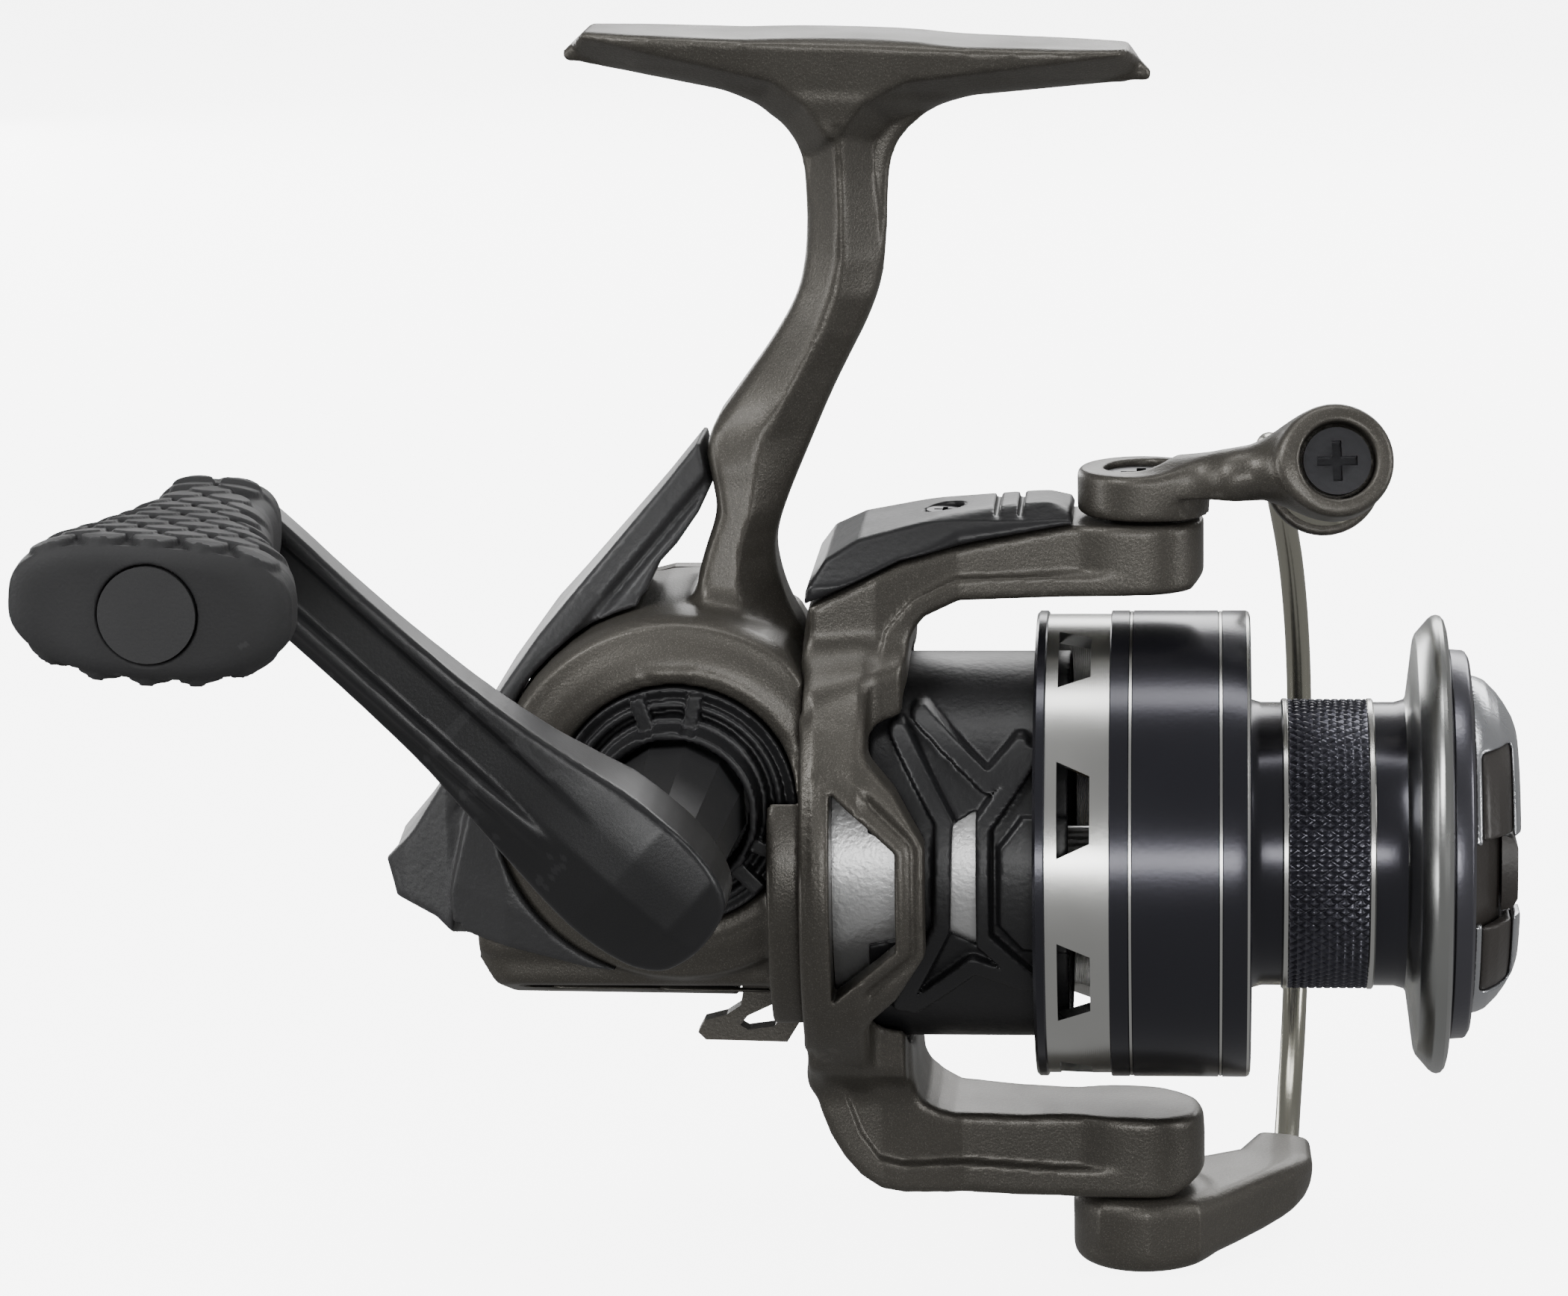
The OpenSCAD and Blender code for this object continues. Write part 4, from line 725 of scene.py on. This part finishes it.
ROLLER_FACE = np.array([48.1, -8.6, 41.8])
DIP, YAW = math.radians(18.3), math.radians(5.7)
ROLLER_DIR = np.array([
    -math.sin(YAW) * math.cos(DIP), math.cos(YAW) * math.cos(DIP), -math.sin(DIP),
])


def on_roller(distance):
    """A point on the line roller's axis, a distance in from the screw's face."""
    return ROLLER_FACE + distance * ROLLER_DIR


def build_bail():
    f = Field((20, -15, 32), (56, 10, 50), 0.25)
    x = BAIL_X
    d = f.rod((x, 0, 34.95), (x, 0, 39.6), BAIL_BOSS_R, 0.9)
    head = f.rod(on_roller(0), on_roller(5.1), 5.7, 0.9)
    shank = join(f.bar((x + 1.5, -0.6, 37.3), (x + 9.5, -5.0, 39.4), 2.4, 2.7),
                 f.bar((x + 9.5, -5.0, 39.4), on_roller(3.4) + (-1, 0, 0.6), 2.7, 3.7), 1.0)
    d = join(join(d, shank, 4.0), head, 3.0)
    # the underside clears the arm cover when the bail is open
    away = np.hypot(f.x - x, f.y)
    under = np.interp(away, [6.9, 7.1, 14, 17], [34.95, 37.25, 37.25, 30])
    d = common(d, under - f.z)
    d = cut(d, f.rod(on_roller(-2), on_roller(2.2), 3.9), 0.5)
    d = cut(d, f.rod(on_roller(-2), on_roller(8), 1.45))
    d = cut(d, f.rod((x, 0, 34), (x, 0, 40), 3.06))
    d = cut(d, f.rod((x, 0, 38.1), (x, 0, 41), 3.8), 0.3)
    cast("bail_arm_casting", f, d, "bail", BRONZE, ["bail_arm"])

    f = Field((36, -5, 28), (55, 16, 46), 0.22)
    d = f.rod(on_roller(12.2), on_roller(18.6), [(0, 6.0), (1.2, 6.0), (4.0, 4.4), (6.4, 2.7)], 0.5)
    d = cut(d, f.rod(on_roller(12), on_roller(16.4), 1.42))
    cast("bail_cone_shell", f, d, "bail", BRONZE, ["bail_cone"])

    f = Field((19.5, -9, -47), (49, 23.5, -35.5), 0.28)
    side = outline(f.x, f.z, rounded([
        (20.9, -36.9), (34, -37.3), (46.8, -37.4), (46.9, -40.6), (45.0, -43.4), (34, -44.2),
        (25, -43.2), (21.2, -40.2),
    ], 2))
    plan = outline(f.x, f.y, [
        (21.2, -2), (24, -6), (29, -7.2), (34.4, -5.4), (44.6, 8.8), (46.9, 13.2), (46.6, 20.6),
        (40.4, 20.8), (38.2, 14.6), (27, 7.2), (22.6, 4.6),
    ])
    d = join(common(side, plan, 1.8), f.rod((x, 0, -44.6), (x, 0, -36.9), 7.2, 1.8), 0.9)
    d = cut(d, f.rod((x, 0, -50), (x, 0, -30), 2.06))
    d = cut(d, f.rod((x, 0, -50), (x, 0, -43.1), 3.9), 0.4)
    d = cut(d, f.rod((43.4, 15, -41), (43.4, 25, -42.05), 1.75), 0.3)
    cast("bail_holder_casting", f, d, "bail", BRONZE, ["bail_holder"])


def build_wire():
    """The bail wire as one smooth tube."""
    route = np.array([
        on_roller(17.9), on_roller(21.2), (44.6, 15.6, 35.2), (42.6, 20.4, 37), (41.7, 26, 37),
        (42, 32, 34), (43.1, 38, 28.6), (44.4, 42.2, 20.6), (45.2, 45, 11), (45.5, 46, 0),
        (45.5, 45, -11), (45.2, 42, -21), (44.8, 37, -30), (44.2, 30, -36.5),
        (43.7, 22, -40.3), (43.4, 15.2, -41),
    ])
    steps, sides, radius = 12, 28, 1.35
    padded = np.vstack([route[:1], route, route[-1:]])
    t = np.linspace(0, 1, steps, endpoint=False)[:, None]
    path = []
    for i in range(len(route) - 1):
        a, b, c, e = padded[i:i + 4]
        path.append(0.5 * (2 * b + (c - a) * t + (2 * a - 5 * b + 4 * c - e) * t ** 2
                           + (3 * b - a - 3 * c + e) * t ** 3))
    path = np.vstack(path + [route[-1:]])
    along = np.gradient(path, axis=0)
    along /= np.linalg.norm(along, axis=1)[:, None]
    across = np.cross(along, [1, 0, 0])
    across /= np.linalg.norm(across, axis=1)[:, None]
    up = np.cross(along, across)
    angle = np.arange(sides) * 2 * math.pi / sides
    ring = (np.cos(angle)[None, :, None] * across[:, None]
            + np.sin(angle)[None, :, None] * up[:, None])
    points = (path[:, None] + radius * ring).reshape(-1, 3)
    n = len(path)
    i, j = np.meshgrid(np.arange(n - 1), np.arange(sides), indexing="ij")
    k = (j + 1) % sides
    faces = np.stack([i * sides + j, i * sides + k, (i + 1) * sides + k, (i + 1) * sides + j], -1)
    faces = faces.reshape(-1, 4)
    points = np.vstack([points, path[:1], path[-1:]])
    last = (n - 1) * sides
    caps = [(len(points) - 2, (a + 1) % sides, a) for a in range(sides)]
    caps += [(len(points) - 1, last + a, last + (a + 1) % sides) for a in range(sides)]
    mesh = bpy.data.meshes.new("bail_wire_tube")
    mesh.from_pydata(points.tolist(), [], faces.tolist() + caps)
    mesh.update()
    mesh.shade_smooth()
    made = bpy.data.objects.new("bail_wire_tube", mesh)
    bpy.context.scene.collection.objects.link(made)
    settle(made, "bail", NICKEL, ["bail_wire"])


# ---------- spool ----------

def build_spool():
    lathe("skirt_black", [
        (25.3, 22.4), (25.3, 23.95), (25.4, 24.05), (27.15, 24.05), (27.25, 23.85), (27.5, 23.85),
        (27.6, 24.05), (36.2, 24.05), (36.3, 23.85), (36.55, 23.85), (36.65, 24.05), (39.0, 24.05),
        (39.35, 23.9), (39.5, 23.5), (38.6, 21.6), (38.2, 17), (38.4, 14.6), (38.4, 13),
        (36.9, 13), (36.6, 17), (36.4, 22.4),
    ], "spool", GLOSS, ["spool_skirt"])
    for name, at in (("skirt_line_rear", 27.38), ("skirt_line_front", 36.43)):
        lathe(name, [(at - 0.13, 23.7), (at - 0.13, 23.98), (at + 0.13, 23.98), (at + 0.13, 23.7)],
              "spool", BRIGHT)
    lathe("skirt_edge_ring", [
        (39.05, 23.6), (39.05, 24.04), (39.3, 23.94), (39.46, 23.6),
    ], "spool", BRIGHT)
    lathe("skirt_rear_ring", [
        (17.7, 22.2), (17.7, 23.75), (18.0, 24.05), (18.75, 24.05), (18.9, 23.9), (18.9, 22.2),
    ], "spool", GLOSS, ["skirt_ring"])
    lathe("arbor_black", [
        (38.45, 13), (38.45, 16.2), (38.9, 15.4), (39.6, 14.9), (40.6, 14.6), (43.1, 14.6),
        (43.2, 13.8), (51.5, 13.8), (51.6, 14.6), (54.2, 14.6), (55.2, 14.9), (55.2, 11.6),
        (46.5, 11.6), (46.5, 1.81), (39.6, 1.81), (39.6, 5.4), (44.4, 5.4), (44.4, 12.4), (40, 13),
    ], "spool", GLOSS, ["spool_arbor"])
    for name, at in (("knurl_ring_rear", 43.0), ("knurl_ring_front", 51.7)):
        lathe(name, [(at - 0.35, 14.2), (at - 0.35, 14.82), (at - 0.2, 14.98), (at + 0.2, 14.98),
                     (at + 0.35, 14.82), (at + 0.35, 14.2)], "spool", BRIGHT)
    lathe("lip_titanium", [
        (55.2, 11.6), (55.2, 14.9), (55.45, 15.3), (55.75, 17.4), (56.25, 21.3), (56.4, 21.7),
        (57.7, 23.2), (58.1, 23.5), (58.5, 23.6), (58.9, 23.5), (59.25, 23.1), (59.45, 22.4),
        (59.6, 20.5), (59.6, 17.9), (57.4, 17.9), (57.4, 11.6),
    ], "spool", LIP, ["spool_lip"])
    lathe("front_ring_dark", [
        (59.65, 17.9), (59.65, 19.85), (59.85, 20.05), (61.2, 19.95), (61.45, 19.8), (61.75, 19.3),
        (61.75, 17.9),
    ], "spool", RING, ["spool_front_ring"])
    # diamond knurl: crossed helical grooves
    start, end, around, pitch = 43.38, 51.32, 92, 1.6
    across = 60
    profile = [(start, 13.8)]
    profile += [(start + (end - start) * i / across, 14.6) for i in range(across + 1)]
    profile += [(end, 13.8)]

    def knurled(x, r, a):
        top = r > 14
        turn = a * around / (2 * math.pi)
        along = (x - start) / pitch
        peak = np.minimum(np.abs((turn + along) % 1 - 0.5), np.abs((turn - along) % 1 - 0.5)) * 2
        return x, np.where(top, 14.55 + 0.36 * np.clip(peak * 1.5, 0, 1), r), a

    lathe("knurl_diamonds", profile, "spool", KNURL, ["knurled_band"], 1040, knurled)


def build_drag_shell():
    f = Field((61.5, -18, -18), (66.9, 18, 18), 0.2)
    y, z = f.y, f.z
    d = f.turned([
        (61.85, 17.4), (62.6, 17.25), (63.4, 16.9), (64.6, 15.7), (65.4, 14.6), (66.2, 13.2),
        (66.6, 12), (66.6, 9), (65.4, 9), (64.45, 10.5), (64.45, 11.7), (63.3, 14.1), (61.85, 16.5),
    ])
    d = cut(d, np.abs(z) - 4.1, 0.3)
    pocket = common(f.box((62.5, -20, -12.4), (65.7, 20, 12.4), 0.5), 6.4 - np.abs(y), 0.3)
    cast("drag_lobes", f, cut(d, pocket, 0.2), "drag_knob", DRAG_SILVER,
         ["drag_knob_shell"])
    cast("drag_flank_inlay", f, common(d + 0.35, pocket + 0.02), "drag_knob", DRAG_DARK)


build_casting()
build_guard()
build_bearing_cap()
build_drag_shell()
build_rotor()
build_insert()
build_arm_cover()
build_crank_arm()
build_knob()
build_bail()
build_wire()
build_spool()


# ---------- camera, floor and light ----------

AIM = Vector((0, 0, -0.07))


def camera():
    data = bpy.data.cameras.new("camera")
    data.lens = 123.4
    data.sensor_width = 36
    data.clip_start, data.clip_end = 0.01, 20
    made = bpy.data.objects.new("camera", data)
    bpy.context.scene.collection.objects.link(made)
    position = Vector((33.57, -539.09, 56.91)) * MM
    target = Vector((-8.38, 0, -62.96)) * MM
    ahead = (target - position).normalized()
    right = (Vector((1, 0, 0)) - ahead * ahead.x).normalized()
    up = right.cross(ahead)
    made.matrix_world = Matrix((
        (right.x, up.x, -ahead.x, position.x), (right.y, up.y, -ahead.y, position.y),
        (right.z, up.z, -ahead.z, position.z), (0, 0, 0, 1),
    ))
    bpy.context.scene.camera = made


def panel(name, position, size, power):
    """A soft light, turned towards the reel."""
    data = bpy.data.lights.new(name, "AREA")
    data.shape = "RECTANGLE"
    data.size, data.size_y = size
    data.energy = power
    made = bpy.data.objects.new(name, data)
    made.location = position
    made.rotation_euler = (AIM - Vector(position)).to_track_quat("-Z", "Y").to_euler()
    bpy.context.scene.collection.objects.link(made)


def stage():
    """A pale floor that curves up into a wall all round, out of the camera's way."""
    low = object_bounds()[0].z - 0.0005
    flat, wall = 3.0, 5.0
    profile = [(flat, 0.0)]
    profile += [(flat + math.sin(a), 1 - math.cos(a)) for a in np.linspace(0.1, math.pi / 2, 12)]
    profile += [(flat + 1, wall)]
    sides = 96
    points = [(0, 0, low)] + [
        (r * math.cos(2 * math.pi * i / sides), r * math.sin(2 * math.pi * i / sides), low + h)
        for r, h in profile for i in range(sides)
    ]
    faces = [(0, 1 + i, 1 + (i + 1) % sides) for i in range(sides)]
    for ring in range(len(profile) - 1):
        here, there = 1 + ring * sides, 1 + (ring + 1) * sides
        faces += [(here + i, there + i, there + (i + 1) % sides, here + (i + 1) % sides)
                  for i in range(sides)]
    mesh = bpy.data.meshes.new("floor")
    mesh.from_pydata(points, [], faces)
    mesh.shade_smooth()
    floor = bpy.data.objects.new("floor", mesh)
    bpy.context.scene.collection.objects.link(floor)
    pale = bpy.data.materials.new("floor_pale")
    pale.use_nodes = True
    shader = pale.node_tree.nodes["Principled BSDF"]
    shader.inputs["Base Color"].default_value = (0.9, 0.9, 0.9, 1)
    shader.inputs["Roughness"].default_value = 0.9
    shader.inputs["Emission Color"].default_value = (1, 1, 1, 1)
    shader.inputs["Emission Strength"].default_value = 6.0
    floor.data.materials.append(pale)
    # a backdrop: it neither lights the reel from below nor keeps light from it
    floor.visible_diffuse = False
    floor.visible_glossy = False
    floor.visible_shadow = False
    floor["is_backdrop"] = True
    world = bpy.data.worlds.new("studio")
    world.use_nodes = True
    world.node_tree.nodes["Background"].inputs["Color"].default_value = (1, 1, 1, 1)
    world.node_tree.nodes["Background"].inputs["Strength"].default_value = 0.3
    bpy.context.scene.world = world
    panel("key", (-0.6, -0.6, 0.6), (0.35, 0.5), 6.0)
    panel("front", (0.1, -1.0, 0.02), (0.5, 0.16), 3.4)
    panel("right", (0.9, -0.25, 0.15), (0.2, 0.7), 4.0)
    panel("left", (-0.9, -0.2, 0.0), (0.2, 0.6), 2.5)
    panel("top", (0.0, 0.0, 0.9), (0.9, 0.2), 4.0)
    panel("rear", (0.2, 0.9, 0.35), (0.9, 0.4), 6.0)
    panel("rear_low", (-0.5, 0.9, 0.0), (0.4, 0.3), 2.5)


camera()
stage()
